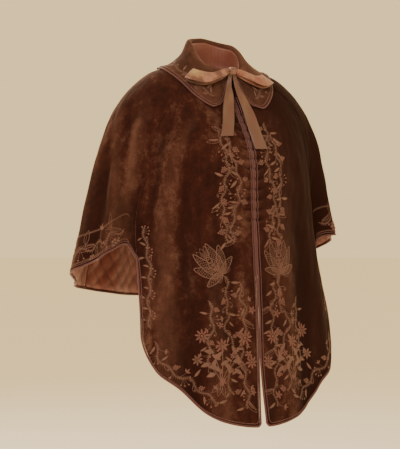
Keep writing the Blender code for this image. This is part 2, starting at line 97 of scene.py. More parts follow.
class Side(Enum):
    """A side of the cape, as the wearer has it."""

    RIGHT = -1
    LEFT = 1
    BOTH = 0

    @property
    def word(self) -> str:
        """The side's name in the pieces' names."""
        return self.name.lower()


SIDES = (Side.RIGHT, Side.LEFT)


@dataclass(frozen=True)
class Fold:
    """A long fold that grows down the cape: a ridge, or a valley where its height is below zero."""

    side: Side
    angle: float
    width: float
    height: float
    start: float
    full: float


@dataclass(frozen=True)
class Crease:
    """A shorter crease that wanders from one angle and level to another."""

    side: Side
    top_angle: float
    top_level: float
    foot_angle: float
    foot_level: float
    width: float
    height: float


FOLDS = (
    Fold(Side.BOTH, 67, 6.0, 0.010, 2.4, 5.2),
    Fold(Side.BOTH, 80, 5.5, -0.009, 2.6, 6.4),
    Fold(Side.RIGHT, 95, 7.5, 0.008, 2.2, 6.8),
    Fold(Side.LEFT, 92, 7.0, 0.007, 2.6, 6.8),
    Fold(Side.BOTH, 113, 7.5, -0.010, 2.8, 6.8),
    Fold(Side.BOTH, 132, 8.0, 0.010, 2.4, 6.8),
    Fold(Side.BOTH, 151, 7.0, -0.011, 2.6, 6.8),
    Fold(Side.BOTH, 168, 8.0, 0.011, 2.8, 6.8),
    Fold(Side.BOTH, 42, 6.0, 0.009, 3.0, 7.0),
    Fold(Side.RIGHT, 30, 5.5, -0.007, 3.4, 7.6),
    Fold(Side.RIGHT, 20, 6.0, 0.007, 4.2, 8.0),
    Fold(Side.LEFT, 27, 6.0, -0.007, 3.2, 7.4),
)
CREASES = (
    Crease(Side.RIGHT, 90, 3.2, 74, 5.4, 3.6, 0.0042),
    Crease(Side.RIGHT, 79, 3.3, 64, 5.6, 3.0, -0.0040),
    Crease(Side.RIGHT, 70, 3.1, 61, 6.0, 2.6, 0.0036),
    Crease(Side.RIGHT, 104, 3.4, 99, 6.6, 3.4, -0.0040),
    Crease(Side.RIGHT, 122, 3.6, 124, 6.8, 3.2, 0.0034),
    Crease(Side.LEFT, 86, 3.4, 72, 5.8, 3.4, -0.0042),
    Crease(Side.LEFT, 73, 3.1, 62, 5.9, 3.0, 0.0038),
    Crease(Side.LEFT, 102, 3.2, 104, 6.4, 3.8, 0.0040),
    Crease(Side.LEFT, 124, 3.8, 121, 6.8, 3.0, -0.0034),
    Crease(Side.RIGHT, 53, 2.8, 48, 6.8, 2.6, -0.0034),
    Crease(Side.RIGHT, 41, 2.4, 44, 4.6, 2.6, 0.0030),
    Crease(Side.RIGHT, 36, 3.8, 33, 7.2, 2.4, -0.0026),
    Crease(Side.RIGHT, 12, 4.6, 13, 8.6, 3.0, -0.0030),
    Crease(Side.RIGHT, 50, 6.2, 47, 8.6, 2.4, 0.0030),
    Crease(Side.LEFT, 52, 3.0, 47, 7.0, 2.6, -0.0034),
    Crease(Side.LEFT, 36, 3.2, 34, 7.6, 2.8, 0.0030),
    Crease(Side.LEFT, 15, 4.8, 16, 8.4, 3.0, 0.0034),
    Crease(Side.LEFT, 50, 6.6, 49, 8.8, 2.6, 0.0028),
    Crease(Side.RIGHT, 146, 3.4, 143, 6.8, 3.0, 0.0036),
    Crease(Side.LEFT, 144, 3.2, 147, 6.6, 3.2, 0.0034),
    Crease(Side.RIGHT, 160, 3.8, 158, 6.8, 2.6, -0.0030),
    Crease(Side.LEFT, 175, 3.2, 172, 6.9, 3.0, -0.0036),
)
# The small pulls that the hidden hooks make beside the centre front: spacing, count, first one, depth and reach
PULL_SPACING = 0.022
PULL_COUNT = 12
PULL_FIRST = 0.090
PULL_DEPTH = 0.0034
PULL_HALF = 0.0028
PULL_REACH = 0.024
PULL_BOW = 0.0035
# Leaves longer than this are worked as outlines
OPEN_LEAF = 0.0240
# How far the embroidery stays from the free edges
EDGE_ROOM = 0.0085


def eased(low: float, high: float, value: Array | float) -> Array:
    """An even S from 0 below low to 1 above high.

    Args:
        low: Where the S starts.
        high: Where it ends.
        value: The numbers to ease.

    Returns:
        The eased numbers.
    """
    share = np.clip((np.asarray(value, dtype=float) - low) / (high - low), 0.0, 1.0)
    return share * share * (3 - 2 * share)


def between(rows: Array, level: Array | float) -> Array:
    """Smooth values between the rows of a table.

    Args:
        rows: The table, one row for each whole level.
        level: The levels, counted in rows.

    Returns:
        One row of values for each level.
    """
    level = np.clip(np.atleast_1d(np.asarray(level, dtype=float)), 0.0, len(rows) - 1.0)
    first = np.minimum(level.astype(int), len(rows) - 2)
    share = (level - first)[:, None]
    a, b = rows[np.maximum(first - 1, 0)], rows[first]
    c, d = rows[first + 1], rows[np.minimum(first + 2, len(rows) - 1)]
    bend = (2 * a - 5 * b + 4 * c - d) * share + (3 * b - a - 3 * c + d) * share * share
    return b + 0.5 * share * ((c - a) + bend)


def table_value(rows: Array, angle: Array, column: int = 1) -> Array:
    """One column of a table whose first column is an angle.

    Args:
        rows: The table.
        angle: The angles to read it at.
        column: Which column to read.

    Returns:
        The eased values.
    """
    angle = np.clip(np.atleast_1d(np.asarray(angle, dtype=float)), rows[0, 0], rows[-1, 0])
    index = np.clip(np.searchsorted(rows[:, 0], angle, side="left") - 1, 0, len(rows) - 2)
    share = (angle - rows[index, 0]) / (rows[index + 1, 0] - rows[index, 0])
    return between(rows[:, column:column + 1], index + share)[:, 0]


def sleeve_level(side: Array, angle: Array) -> Array:
    """The level of the lower edge of the sleeves and the back."""
    return np.where(side < 0, table_value(SLEEVE_EDGE, angle, 1), table_value(SLEEVE_EDGE, angle, 2))


def front_level(share: Array) -> Array:
    """The level of the front hem, at shares of the way from the centre front to the outer edge."""
    share = np.clip(share, 0.0, 1.0)
    flat = HEM_FLAT * np.exp(-(((share - HEM_FLAT_AT) / HEM_FLAT_WIDTH) ** 2))
    return HEM_START + (LAST - HEM_START) * np.cos(np.arcsin(share)) - flat


def parting(level: Array) -> Array:
    """How far the velvet of each front stands from the middle plane."""
    return PIPING_RADIUS * 2 + SEAM_GAP * 4 + FRONT_PARTING * eased(PARTING_START, LAST, level)


def unit(vectors: Array) -> Array:
    """The vectors at length 1."""
    return vectors / np.maximum(np.linalg.norm(vectors, axis=-1, keepdims=True), 1e-12)


class Drape:
    """The outer face of the cape, with its folds and creases."""

    def __init__(self) -> None:
        """Measures the centre front, so that the pulls beside it are evenly spaced."""
        levels = np.linspace(0.0, LAST, 400)
        line = self.smooth(np.full(400, -1.0), np.full(400, 2.0), levels)
        steps = np.linalg.norm(np.diff(line, axis=0), axis=1)
        self.levels = levels
        self.lengths = np.concatenate(([0.0], np.cumsum(steps)))

    def _ring(self, side: Array, row: Array, half_width: Array, angle: Array, level: Array) -> Array:
        """Places on the level rings of the stations.

        Args:
            side: -1 or 1 for each place.
            row: The station's values for each place.
            half_width: The ring's half width.
            angle: True angles in degrees.
            level: Levels.

        Returns:
            The places.
        """
        turn = np.radians(angle)
        sine, cosine = np.sin(turn), np.cos(turn)
        end_y = np.where(cosine >= 0, row[:, 3], row[:, 5])
        end_z = np.where(cosine >= 0, row[:, 4], row[:, 6])
        drop = np.where(side > 0, LEFT_NECK_DROP * sine * (1 - eased(0.8, 3.0, level)), 0.0)
        return np.stack((
            side * half_width * sine,
            row[:, 1] + (end_y - row[:, 1]) * np.abs(cosine),
            row[:, 2] + (end_z - row[:, 2]) * cosine * cosine - drop,
        ), axis=1)

    def smooth(self, side: Array, angle: Array, level: Array) -> Array:
        """The surface with no folds."""
        row = between(STATIONS, level)
        wrapped = self._ring(side, row, row[:, 7], angle * row[:, 8] / FRONT_SEAM, level)
        half_width = row[:, 0] - np.where(side > 0, LEFT_SLEEVE_IN * eased(2.0, 6.5, level), 0.0)
        open_ring = self._ring(side, row, half_width, angle, level)
        seam = self._ring(side, row, row[:, 7], row[:, 8], level)
        step_in = seam - self._ring(side, row, half_width, np.full_like(angle, FRONT_SEAM), level)
        share = 1 - eased(FRONT_SEAM, FRONT_SEAM + VALLEY, angle)
        outside = open_ring + step_in * share[:, None]
        return np.where((angle <= FRONT_SEAM)[:, None], wrapped, outside)

    def relief(self, side: Array, angle: Array, level: Array) -> Array:
        """How far the folds, creases and pulls stand out from the smooth surface.

        Args:
            side: -1 or 1 for each place.
            angle: Angles in degrees.
            level: Levels.

        Returns:
            Heights in metres.
        """
        total = np.zeros_like(angle)
        for fold in FOLDS:
            here = (side == fold.side.value) | (fold.side is Side.BOTH)
            across = np.exp(-(((angle - fold.angle) / fold.width) ** 2))
            total += np.where(here, fold.height * across * eased(fold.start, fold.full, level), 0.0)
        return total + self.fine_relief(side, angle, level)

    def fine_relief(self, side: Array, angle: Array, level: Array) -> Array:
        """The share of the relief that the creases, the pulls and the unevenness of the cloth make."""
        total = np.zeros_like(angle)
        for crease in CREASES:
            along = (level - crease.top_level) / (crease.foot_level - crease.top_level)
            bow = 0.12 * np.sin(math.pi * along)
            centre = crease.top_angle + (crease.foot_angle - crease.top_angle) * (along + bow)
            across = np.exp(-(((angle - centre) / crease.width) ** 2))
            ends = eased(-0.28, 0.3, along) * (1 - eased(0.72, 1.25, along))
            total += np.where(side == crease.side.value, crease.height * across * ends, 0.0)
        wave = np.sin(0.83 * angle + 2.3 * level + side) * np.sin(4.9 * level + 0.21 * angle)
        wave += 0.6 * np.sin(0.47 * angle - 6.1 * level + 2 * side)
        total += 0.0006 * wave * eased(1.6, 3.4, level)
        return total - PULL_DEPTH * self.pulls(angle, level)[0]

    def pulls(self, angle: Array, level: Array) -> tuple[Array, Array]:
        """Marks beside the centre front where the cloth is drawn to its hooks.

        Args:
            angle: Angles in degrees.
            level: Levels.

        Returns:
            Shares of the hollow of each mark, and of the band below it where a highlight is painted.
        """
        row = between(STATIONS, level)
        reach = np.radians(angle * row[:, 8] / FRONT_SEAM) * row[:, 7]
        down = np.interp(level, self.levels, self.lengths)
        number = np.clip(np.round((down - PULL_FIRST) / PULL_SPACING), 0, PULL_COUNT - 1)
        offset = down - PULL_FIRST - number * PULL_SPACING + PULL_BOW * (reach / PULL_REACH) ** 2
        fade = np.where(angle < 15, np.exp(-((reach / PULL_REACH) ** 2)), 0.0)
        hollow = np.exp(-((offset / PULL_HALF) ** 2)) * fade
        return hollow, np.exp(-(((offset - 2 * PULL_HALF) / PULL_HALF) ** 2)) * fade

    def point(self, side: Array, angle: Array, level: Array) -> Array:
        """Places on the outer face.

        Args:
            side: -1 or 1, one number or one for each place.
            angle: Angles in degrees.
            level: Levels.

        Returns:
            The places, one row each.
        """
        angle, level = np.broadcast_arrays(np.atleast_1d(np.asarray(angle, dtype=float)), level)
        side = np.broadcast_to(np.asarray(side, dtype=float), angle.shape)
        turn = np.radians(angle)
        out = np.stack((side * np.sin(turn), -np.cos(turn), np.zeros_like(turn)), axis=1)
        return self.smooth(side, angle, level) + out * self.relief(side, angle, level)[:, None]

    def normal(self, side: Array, angle: Array, level: Array) -> Array:
        """The directions away from the body."""
        low, high = np.maximum(level - 0.03, 0.0), np.minimum(level + 0.03, LAST)
        down = self.point(side, angle, high) - self.point(side, angle, low)
        across = self.point(side, angle + 0.4, level) - self.point(side, angle - 0.4, level)
        return unit(np.cross(down, across) * np.reshape(side, (-1, 1)))

    def placed(self, side: Array, angle: Array, level: Array, depth: Array | float) -> Array:
        """Places under the outer face by a depth, or above it where the depth is below zero."""
        return self.point(side, angle, level) - self.normal(side, angle, level) * np.reshape(depth, (-1, 1))

    def per_degree(self, side: Array, angle: Array, level: Array) -> Array:
        """Metres round the cape for a degree, on the smooth surface."""
        angle, level = np.broadcast_arrays(np.atleast_1d(np.asarray(angle, dtype=float)), level)
        side = np.broadcast_to(np.asarray(side, dtype=float), angle.shape)
        level = np.maximum(level, 0.3)
        return np.linalg.norm(
            self.smooth(side, angle + 1.0, level) - self.smooth(side, angle, level), axis=1)

    def per_level(self, side: Array, angle: Array, level: Array) -> Array:
        """Metres down the cape for a level, on the smooth surface."""
        angle, level = np.broadcast_arrays(np.atleast_1d(np.asarray(angle, dtype=float)), level)
        side = np.broadcast_to(np.asarray(side, dtype=float), angle.shape)
        step = 0.1
        ends = self.smooth(side, angle, level) - self.smooth(side, angle, level - step)
        return np.linalg.norm(ends, axis=1) / step


DRAPE = Drape()


# Finishes

Color = tuple[float, float, float]


class Shader:
    """A material's nodes, added one by one."""

    def __init__(self, name: str) -> None:
        """Starts a material with an empty Principled shader."""
        self.material = bpy.data.materials.new(name)
        self.material.use_nodes = True
        self.tree = self.material.node_tree
        self.surface = self.tree.nodes["Principled BSDF"]

    def add(self, kind: str, inputs: dict[str | int, object] | None = None, **settings: object) -> bpy.types.Node:
        """Adds a node.

        Args:
            kind: The node's type name.
            inputs: Values, or output sockets to link, by input name.
            settings: The node's own properties.

        Returns:
            The node.
        """
        made = self.tree.nodes.new(kind)
        for key, value in settings.items():
            setattr(made, key, value)
        for key, value in (inputs or {}).items():
            self.put(made, key, value)
        return made

    def put(self, node: bpy.types.Node, key: str | int, value: object) -> None:
        """Sets an input's value, or links an output to it."""
        if isinstance(value, bpy.types.NodeSocket):
            self.tree.links.new(value, node.inputs[key])
        else:
            node.inputs[key].default_value = value

    def places(self) -> bpy.types.NodeSocket:
        """The place on the piece, in metres."""
        return self.add("ShaderNodeTexCoord").outputs["Object"]

    def attribute(self, name: str) -> bpy.types.NodeSocket:
        """A value that the mesh carries."""
        return self.add("ShaderNodeAttribute", attribute_name=name).outputs["Fac"]

    def noise(self, scale: float, detail: float = 4.0, roughness: float = 0.6) -> bpy.types.NodeSocket:
        """Noise on the piece, at that many cells for a metre."""
        return self.add("ShaderNodeTexNoise", {
            "Vector": self.places(), "Scale": scale, "Detail": detail, "Roughness": roughness,
        }).outputs["Fac"]

    def streaks(self, scale: float, detail: float, roughness: float) -> bpy.types.NodeSocket:
        """Noise that is drawn out upright, at that many cells for a metre across."""
        drawn = self.add("ShaderNodeVectorMath", {0: self.places(), 1: (1.0, 1.0, 0.38)}, operation="MULTIPLY")
        return self.add("ShaderNodeTexNoise", {
            "Vector": drawn.outputs[0], "Scale": scale, "Detail": detail, "Roughness": roughness,
        }).outputs["Fac"]

    def math(self, operation: str, first: object, second: object = 0.0) -> bpy.types.NodeSocket:
        """One sum on two numbers."""
        return self.add("ShaderNodeMath", {0: first, 1: second}, operation=operation).outputs[0]

    def ramp(self, value: bpy.types.NodeSocket, stops: Sequence[tuple[float, Color]]) -> bpy.types.NodeSocket:
        """Colours along a value.

        Args:
            value: The value, from 0 to 1.
            stops: Positions with their colours.

        Returns:
            The colour.
        """
        node = self.add("ShaderNodeValToRGB", {"Fac": value})
        elements = node.color_ramp.elements
        while len(elements) < len(stops):
            elements.new(0.5)
        for element, (place, color) in zip(elements, stops):
            element.position = place
            element.color = (*color, 1.0)
        return node.outputs["Color"]

    def mix(self, share: object, first: object, second: object, blend: str = "MIX") -> bpy.types.NodeSocket:
        """Blends two colours by a share."""
        node = self.add("ShaderNodeMix", data_type="RGBA", blend_type=blend)
        for key, value in ((0, share), (6, first), (7, second)):
            if isinstance(value, tuple):
                value = (*value, 1.0)
            self.put(node, key, value)
        return node.outputs[2]

    def bump(self, height: object, strength: float, distance: float, under: object = None) -> bpy.types.NodeSocket:
        """Raises the surface by a height.

        Args:
            height: The height, from 0 to 1.
            strength: How much of it shows.
            distance: Metres for a height of 1.
            under: A normal that it is laid on.

        Returns:
            The bent normal.
        """
        node = self.add("ShaderNodeBump", {"Height": height, "Strength": strength, "Distance": distance})
        if under is not None:
            self.put(node, "Normal", under)
        return node.outputs["Normal"]

    def finish(self, color: object, normal: object, **sockets: object) -> bpy.types.Material:
        """Links the colour and the normal, and sets the shader's other sockets.

        Args:
            color: The base colour.
            normal: The bent normal.
            sockets: Values by socket name, with _ for a space.

        Returns:
            The material.
        """
        self.put(self.surface, "Base Color", color)
        self.put(self.surface, "Normal", normal)
        for name, value in sockets.items():
            self.put(self.surface, name.replace("_", " "), value)
        return self.material


@dataclass(frozen=True)
class VelvetFinish:
    """Dark red-brown pile in random paler patches, with painted shade that makes it near black in the valleys and a
    painted highlight that makes it warm brown on the ridges.
    """

    deep: Color = (0.0125, 0.0019, 0.0011)
    body: Color = (0.029, 0.0058, 0.0036)
    # The paler colour of the random brushed patches, and also the colour of the painted highlight on the ridges
    pale_and_highlight: Color = (0.078, 0.034, 0.0245)
    sheen: Color = (0.46, 0.27, 0.20)

    def material(self) -> bpy.types.Material:
        """The velvet's material."""
        shader = Shader("velvet_pile")
        cloud = shader.streaks(15.0, 5.0, 0.60)
        crush = shader.noise(75.0, 5.0, 0.65)
        speckle = shader.noise(420.0, 3.0, 0.7)
        share = shader.math("ADD", shader.math("MULTIPLY", cloud, 0.52), shader.math("MULTIPLY", crush, 0.26))
        share = shader.math("ADD", share, shader.math("MULTIPLY", speckle, 0.22))
        ground = shader.ramp(share, ((0.42, self.deep), (0.53, self.body), (0.62, self.pale_and_highlight)))
        patchy = shader.math("MULTIPLY", shader.math("SUBTRACT", share, 0.30), 2.6)
        # Painted shade where the mesh marks valleys, and a painted highlight where it marks ridges
        painted_shade = shader.attribute("painted_shade")
        painted_highlight = shader.math("MULTIPLY", shader.attribute("painted_highlight"), patchy)
        lit = shader.mix(painted_highlight, ground, self.pale_and_highlight)
        color = shader.mix(painted_shade, lit, self.deep)
        # The sheen is weakened where the shade is painted
        sheen_out_of_shade = shader.math("MULTIPLY", shader.math("SUBTRACT", 1.0, painted_shade), 0.34)
        pile = shader.noise(1500.0, 2.0, 0.7)
        normal = shader.bump(pile, 0.5, 0.0006, shader.bump(crush, 0.35, 0.0016))
        return shader.finish(
            color, normal, Roughness=0.90, Specular_IOR_Level=0.12, Sheen_Weight=sheen_out_of_shade, Sheen_Roughness=0.40,
            Sheen_Tint=(*self.sheen, 1.0))


@dataclass(frozen=True)
class LiningFinish:
    """Rose silk, quilted: painted shade darkens it along the stitching, with a soft shine on the puffs."""

    name: str = "quilted_silk"
    shade: Color = (0.080, 0.019, 0.015)
    silk: Color = (0.165, 0.044, 0.034)
    shine: Color = (0.235, 0.080, 0.060)

    def material(self) -> bpy.types.Material:
        """The lining's material."""
        shader = Shader(self.name)
        mottle = shader.noise(26.0, 5.0, 0.6)
        silk = shader.ramp(mottle, ((0.30, self.silk), (0.78, self.shine)))
        # Painted shade along the quilting's stitching
        color = shader.mix(shader.attribute("groove_shade"), silk, self.shade)
        weave = shader.noise(1900.0, 2.0, 0.5)
        pucker = shader.noise(260.0, 3.0, 0.6)
        normal = shader.bump(weave, 0.25, 0.0003, shader.bump(pucker, 0.35, 0.0007))
        return shader.finish(
            color, normal, Roughness=0.50, Specular_IOR_Level=0.40, Sheen_Weight=0.25,
            Sheen_Tint=(0.9, 0.6, 0.5, 1.0))


@dataclass(frozen=True)
class CordFinish:
    """Rose silk wound round a cord, with the slant of its turns: painted shade between the turns and a painted
    highlight on their crowns.
    """

    dark: Color = (0.024, 0.0055, 0.0065)
    light: Color = (0.076, 0.020, 0.023)

    def material(self) -> bpy.types.Material:
        """The piping's material."""
        shader = Shader("wound_silk")
        # Each turn of the winding gets painted shade in its groove and a painted highlight on its crown
        turns = shader.math("SINE", shader.attribute("wind"))
        share = shader.math("ADD", shader.math("MULTIPLY", turns, 0.5), 0.5)
        wear = shader.noise(90.0, 3.0, 0.6)
        color = shader.mix(wear, shader.ramp(share, ((0.0, self.dark), (0.7, self.light))), self.light)
        normal = shader.bump(share, 0.6, 0.0005)
        return shader.finish(
            color, normal, Roughness=0.55, Specular_IOR_Level=0.35, Sheen_Weight=0.3,
            Sheen_Tint=(0.9, 0.6, 0.55, 1.0))


@dataclass(frozen=True)
class ThreadFinish:
    """Silk thread laid side by side, from tan to rose, with painted shade between the threads."""

    tan: Color = (0.172, 0.083, 0.060)
    rose: Color = (0.185, 0.056, 0.046)
    dark: Color = (0.040, 0.015, 0.010)

    def material(self) -> bpy.types.Material:
        """The embroidery's material."""
        shader = Shader("silk_thread")
        base = shader.mix(shader.attribute("rose"), self.tan, self.rose)
        rows = shader.math("SINE", shader.attribute("thread"))
        share = shader.math("ADD", shader.math("MULTIPLY", rows, 0.5), 0.5)
        # Painted shade in the furrows between the laid threads
        lit = shader.mix(shader.math("MULTIPLY", shader.math("SUBTRACT", 1.0, share), 0.45), base, self.dark)
        faded = shader.mix(shader.math("MULTIPLY", shader.noise(60.0, 5.0), 0.75), lit, self.dark)
        normal = shader.bump(share, 0.5, 0.0003)
        return shader.finish(
            faded, normal, Roughness=0.55, Specular_IOR_Level=0.35, Sheen_Weight=0.12,
            Sheen_Tint=(0.95, 0.75, 0.65, 1.0))


@dataclass(frozen=True)
class RibbonFinish:
    """Satin with a fine, darker selvage, random patches of painted highlight, and a pale gold painted highlight across
    the middle of a strip, strongest on one loop's fold.
    """

    body: Color = (0.076, 0.028, 0.020)
    light: Color = (0.225, 0.100, 0.074)
    gold_highlight: Color = (0.300, 0.190, 0.078)
    pink: Color = (0.200, 0.050, 0.034)

    def material(self, name: str, pink_share: float) -> bpy.types.Material:
        """The material of one length of ribbon.

        Args:
            name: The material's name.
            pink_share: How far it turns from tan to pink.

        Returns:
            The material.
        """
        shader = Shader(name)
        # Random patches of painted highlight on the satin
        shade = shader.noise(46.0, 4.0, 0.55)
        base = tuple(a + (b - a) * pink_share for a, b in zip(self.body, self.pink))
        satin = shader.ramp(shade, ((0.42, base), (0.58, self.light)))
        # A pale gold painted highlight where the mesh marks it
        color = shader.mix(shader.attribute("gold_highlight"), satin, self.gold_highlight)
        # A darker selvage along the ribbon's edges; on the knot the same dark is painted shade in its creases
        edge = shader.mix(shader.attribute("selvage_and_crease_shade"), color, tuple(0.55 * part for part in base))
        ribs = shader.math("SINE", shader.attribute("rib"))
        grain = shader.noise(700.0, 2.0, 0.5)
        normal = shader.bump(ribs, 0.14, 0.0002, shader.bump(grain, 0.15, 0.0002))
        return shader.finish(
            edge, normal, Roughness=0.36, Specular_IOR_Level=0.5, Anisotropic=0.45, Sheen_Weight=0.15,
            Sheen_Tint=(0.95, 0.8, 0.7, 1.0))


# Mesh helpers

Values = dict[str, Array]


def put_in_scene(name: str, mesh: bpy.types.Mesh, material: bpy.types.Material) -> bpy.types.Object:
    """Makes an object of a mesh, smooth shaded, and links it to the scene."""
    mesh.shade_smooth()
    mesh.materials.append(material)
    made = bpy.data.objects.new(name, mesh)
    bpy.context.scene.collection.objects.link(made)
    return made


def give_values(mesh: bpy.types.Mesh, values: Values) -> None:
    """Stores one number for each vertex under each name."""
    for key, numbers in values.items():
        layer = mesh.attributes.new(key, "FLOAT", "POINT")
        layer.data.foreach_set("value", np.ascontiguousarray(numbers, dtype=np.float32))


def cloth(
    name: str, steps: tuple[int, int], lay: Callable[[Array, Array], tuple[Array, Array, Values]],
    material: bpy.types.Material, thickness: float = 0.0,
) -> bpy.types.Object:
    """A grid laid on a surface, given a thickness on its inner side.

    Args:
        name: The piece's name.
        steps: Grid steps across and down.
        lay: Gives places, outward directions and vertex values for u and v from 0 to 1.
        material: The piece's material.
        thickness: Thickness in metres; 0 leaves a single sheet.

    Returns:
        The piece.
    """
    grid = bmesh.new()
    bmesh.ops.create_grid(grid, x_segments=steps[0], y_segments=steps[1], size=0.5)
    mesh = bpy.data.meshes.new(name)
    grid.to_mesh(mesh)
    grid.free()
    flat = np.empty(len(mesh.vertices) * 3, dtype=np.float32)
    mesh.vertices.foreach_get("co", flat)
    flat = flat.reshape(-1, 3).astype(float) + 0.5
    places, outward, values = lay(flat[:, 0], flat[:, 1])
    mesh.vertices.foreach_set("co", places.astype(np.float32).ravel())
    mesh.update()
    middle = mesh.polygons[len(mesh.polygons) // 2]
    if Vector(outward[middle.vertices[0]]).dot(middle.normal) < 0:
        mesh.flip_normals()
    give_values(mesh, values)
    made = put_in_scene(name, mesh, material)
    if thickness:
        skin = made.modifiers.new("thickness", "SOLIDIFY")
        skin.thickness = thickness
        skin.offset = -1.0
    return made


def cord(
    name: str, points: Array, radius: float, material: bpy.types.Material, sides: int = 8, pitch: float = 0.0042,
    tip: float = 0.6,
) -> bpy.types.Object:
    """A round cord along points, wound with silk, with rounded ends.

    Args:
        name: The piece's name.
        points: The middle line.
        radius: The cord's radius.
        material: The piece's material.
        sides: Sides of its section.
        pitch: Length of one turn of the winding.
        tip: The radius at the very ends, as a share.

    Returns:
        The piece.
    """
    ahead = unit(np.gradient(points, axis=0))
    steps = np.linalg.norm(np.diff(points, axis=0), axis=1)
    length = np.concatenate(([0.0], np.cumsum(steps)))
    first = unit(np.cross(ahead, np.array([0.13, 0.29, 0.95])))
    for k in range(1, len(points)):
        kept = first[k - 1] - ahead[k] * first[k - 1].dot(ahead[k])
        first[k] = kept / np.linalg.norm(kept)
    second = np.cross(ahead, first)
    ring = bmesh.new()
    bmesh.ops.create_grid(ring, x_segments=sides, y_segments=len(points) - 1, size=0.5)
    flat = np.array([vert.co for vert in ring.verts]) + 0.5
    index = np.round(flat[:, 1] * (len(points) - 1)).astype(int)
    turn = flat[:, 0] * 2 * math.pi
    ends = (index == 0) | (index == len(points) - 1)
    size = np.where(ends, radius * tip, radius)[:, None]
    around = first[index] * np.cos(turn)[:, None] + second[index] * np.sin(turn)[:, None]
    places = points[index] + around * size
    wind = (length[index] / pitch) * 2 * math.pi + turn
    for vert, place in zip(ring.verts, places):
        vert.co = place
    layer = ring.verts.layers.float.new("wind")
    for vert, value in zip(ring.verts, wind):
        vert[layer] = value
    bmesh.ops.remove_doubles(ring, verts=ring.verts, dist=radius * 0.02)
    open_edges = [edge for edge in ring.edges if edge.is_boundary]
    bmesh.ops.holes_fill(ring, edges=open_edges, sides=sides)
    bmesh.ops.recalc_face_normals(ring, faces=ring.faces)
    mesh = bpy.data.meshes.new(name)
    ring.to_mesh(mesh)
    ring.free()
    return put_in_scene(name, mesh, material)


def dressed(piece: bpy.types.Object, slot: str, *nodes: str) -> bpy.types.Object:
    """Lets a piece ride on the body, hides the nodes that it stands for, and reports it with their names."""
    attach(piece, BODY)
    if nodes:
        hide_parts(*nodes)
    log.info("%s: %d faces, stands for %s", piece.name, len(piece.data.polygons), ", ".join(nodes) or "no node")
    return piece


# Panels


@dataclass(frozen=True)
class Cut:
    """A panel's own grid on the drape: which places its columns and rows lie on."""

    name: str
    steps: tuple[int, int]
    flat: tuple[float, float]
    area: float

    def lay(self, u: Array, v: Array, inset: float) -> tuple[Array, Array, Array, Array, Array]:
        """Side, angle and level of each grid point, with its distance from a seam and from a free edge."""
        raise NotImplementedError


@dataclass(frozen=True)
class FrontCut(Cut):
    """A long front with a rounded hem."""

    side: Side = Side.RIGHT
    upper: float = 0.62

    def lay(self, u: Array, v: Array, inset: float) -> tuple[Array, Array, Array, Array, Array]:
        """Lays the front's grid.

        Args:
            u: Shares from the centre front to the outer edge.
            v: Shares from the neck to the hem.
            inset: How far the panel ends inside the piping's middle.

        Returns:
            Side, angle, level, distance from the sleeve seam and distance from a free edge.
        """
        side = np.full(u.shape, float(self.side.value))
        share = np.sin(u * math.pi / 2)
        meet = sleeve_level(side, np.full(u.shape, FRONT_SEAM))
        edge = front_level(share)
        hem = edge - (PIPING_RADIUS * 2 + inset) / DRAPE.per_level(side, FRONT_SEAM * share, edge)
        lower = np.clip((v - self.upper) / (1 - self.upper), 0.0, 1.0)
        level = np.where(v <= self.upper, meet * v / self.upper, meet + (hem - meet) * lower)
        inner = (parting(level) - SEAM_GAP + inset) / DRAPE.per_degree(side, np.zeros_like(level), level)
        scale = DRAPE.per_degree(side, np.full(u.shape, FRONT_SEAM - 1), level)
        outer = FRONT_SEAM - np.where(v > self.upper, PIPING_RADIUS * 1.1 + inset, 0.0) / scale
        angle = inner + (outer - inner) * share
        from_outer = (outer - angle) * scale
        seam = np.where(v <= self.upper + 0.01, from_outer, 1.0)
        free = np.minimum((angle - inner) * scale, np.where(v > self.upper, from_outer, 1.0))
        free = np.minimum(free, (hem - level) * DRAPE.per_level(side, angle, level))
        return side, angle, level, seam, free


@dataclass(frozen=True)
class SleeveCut(Cut):
    """A half sleeve over the shoulder, down to its arched edge."""

    side: Side = Side.RIGHT

    def lay(self, u: Array, v: Array, inset: float) -> tuple[Array, Array, Array, Array, Array]:
        """Lays the sleeve's grid, from the front seam to the back seam."""
        side = np.full(u.shape, float(self.side.value))
        angle = FRONT_SEAM + (BACK_SEAM - FRONT_SEAM) * u
        edge = sleeve_level(side, angle)
        hem = edge - (PIPING_RADIUS * 2 + inset) / DRAPE.per_level(side, angle, edge)
        level = hem * v
        scale = DRAPE.per_degree(side, angle, level)
        seam = np.minimum(angle - FRONT_SEAM, BACK_SEAM - angle) * scale
        return side, angle, level, seam, (hem - level) * DRAPE.per_level(side, angle, level)


@dataclass(frozen=True)
class BackCut(Cut):
    """The back in one piece."""

    def lay(self, u: Array, v: Array, inset: float) -> tuple[Array, Array, Array, Array, Array]:
        """Lays the back's grid, from the right seam to the left seam."""
        side = np.where(u < 0.5, -1.0, 1.0)
        angle = 180.0 + (BACK_SEAM - 180.0) * np.abs(2 * u - 1)
        edge = sleeve_level(side, angle)
        hem = edge - (PIPING_RADIUS * 2 + inset) / DRAPE.per_level(side, angle, edge)
        level = hem * v
        scale = DRAPE.per_degree(side, angle, level)
        return side, angle, level, (angle - BACK_SEAM) * scale, (hem - level) * DRAPE.per_level(side, angle, level)


CUTS = (
    FrontCut("front_right", (72, 216), (0.30, 0.80), 0.172, Side.RIGHT),
    FrontCut("front_left", (72, 216), (0.30, 0.80), 0.170, Side.LEFT),
    SleeveCut("sleeve_right", (100, 132), (0.42, 0.52), 0.140, Side.RIGHT),
    SleeveCut("sleeve_left", (96, 124), (0.40, 0.50), 0.125, Side.LEFT),
    BackCut("back", (112, 160), (0.44, 0.62), 0.206),
)


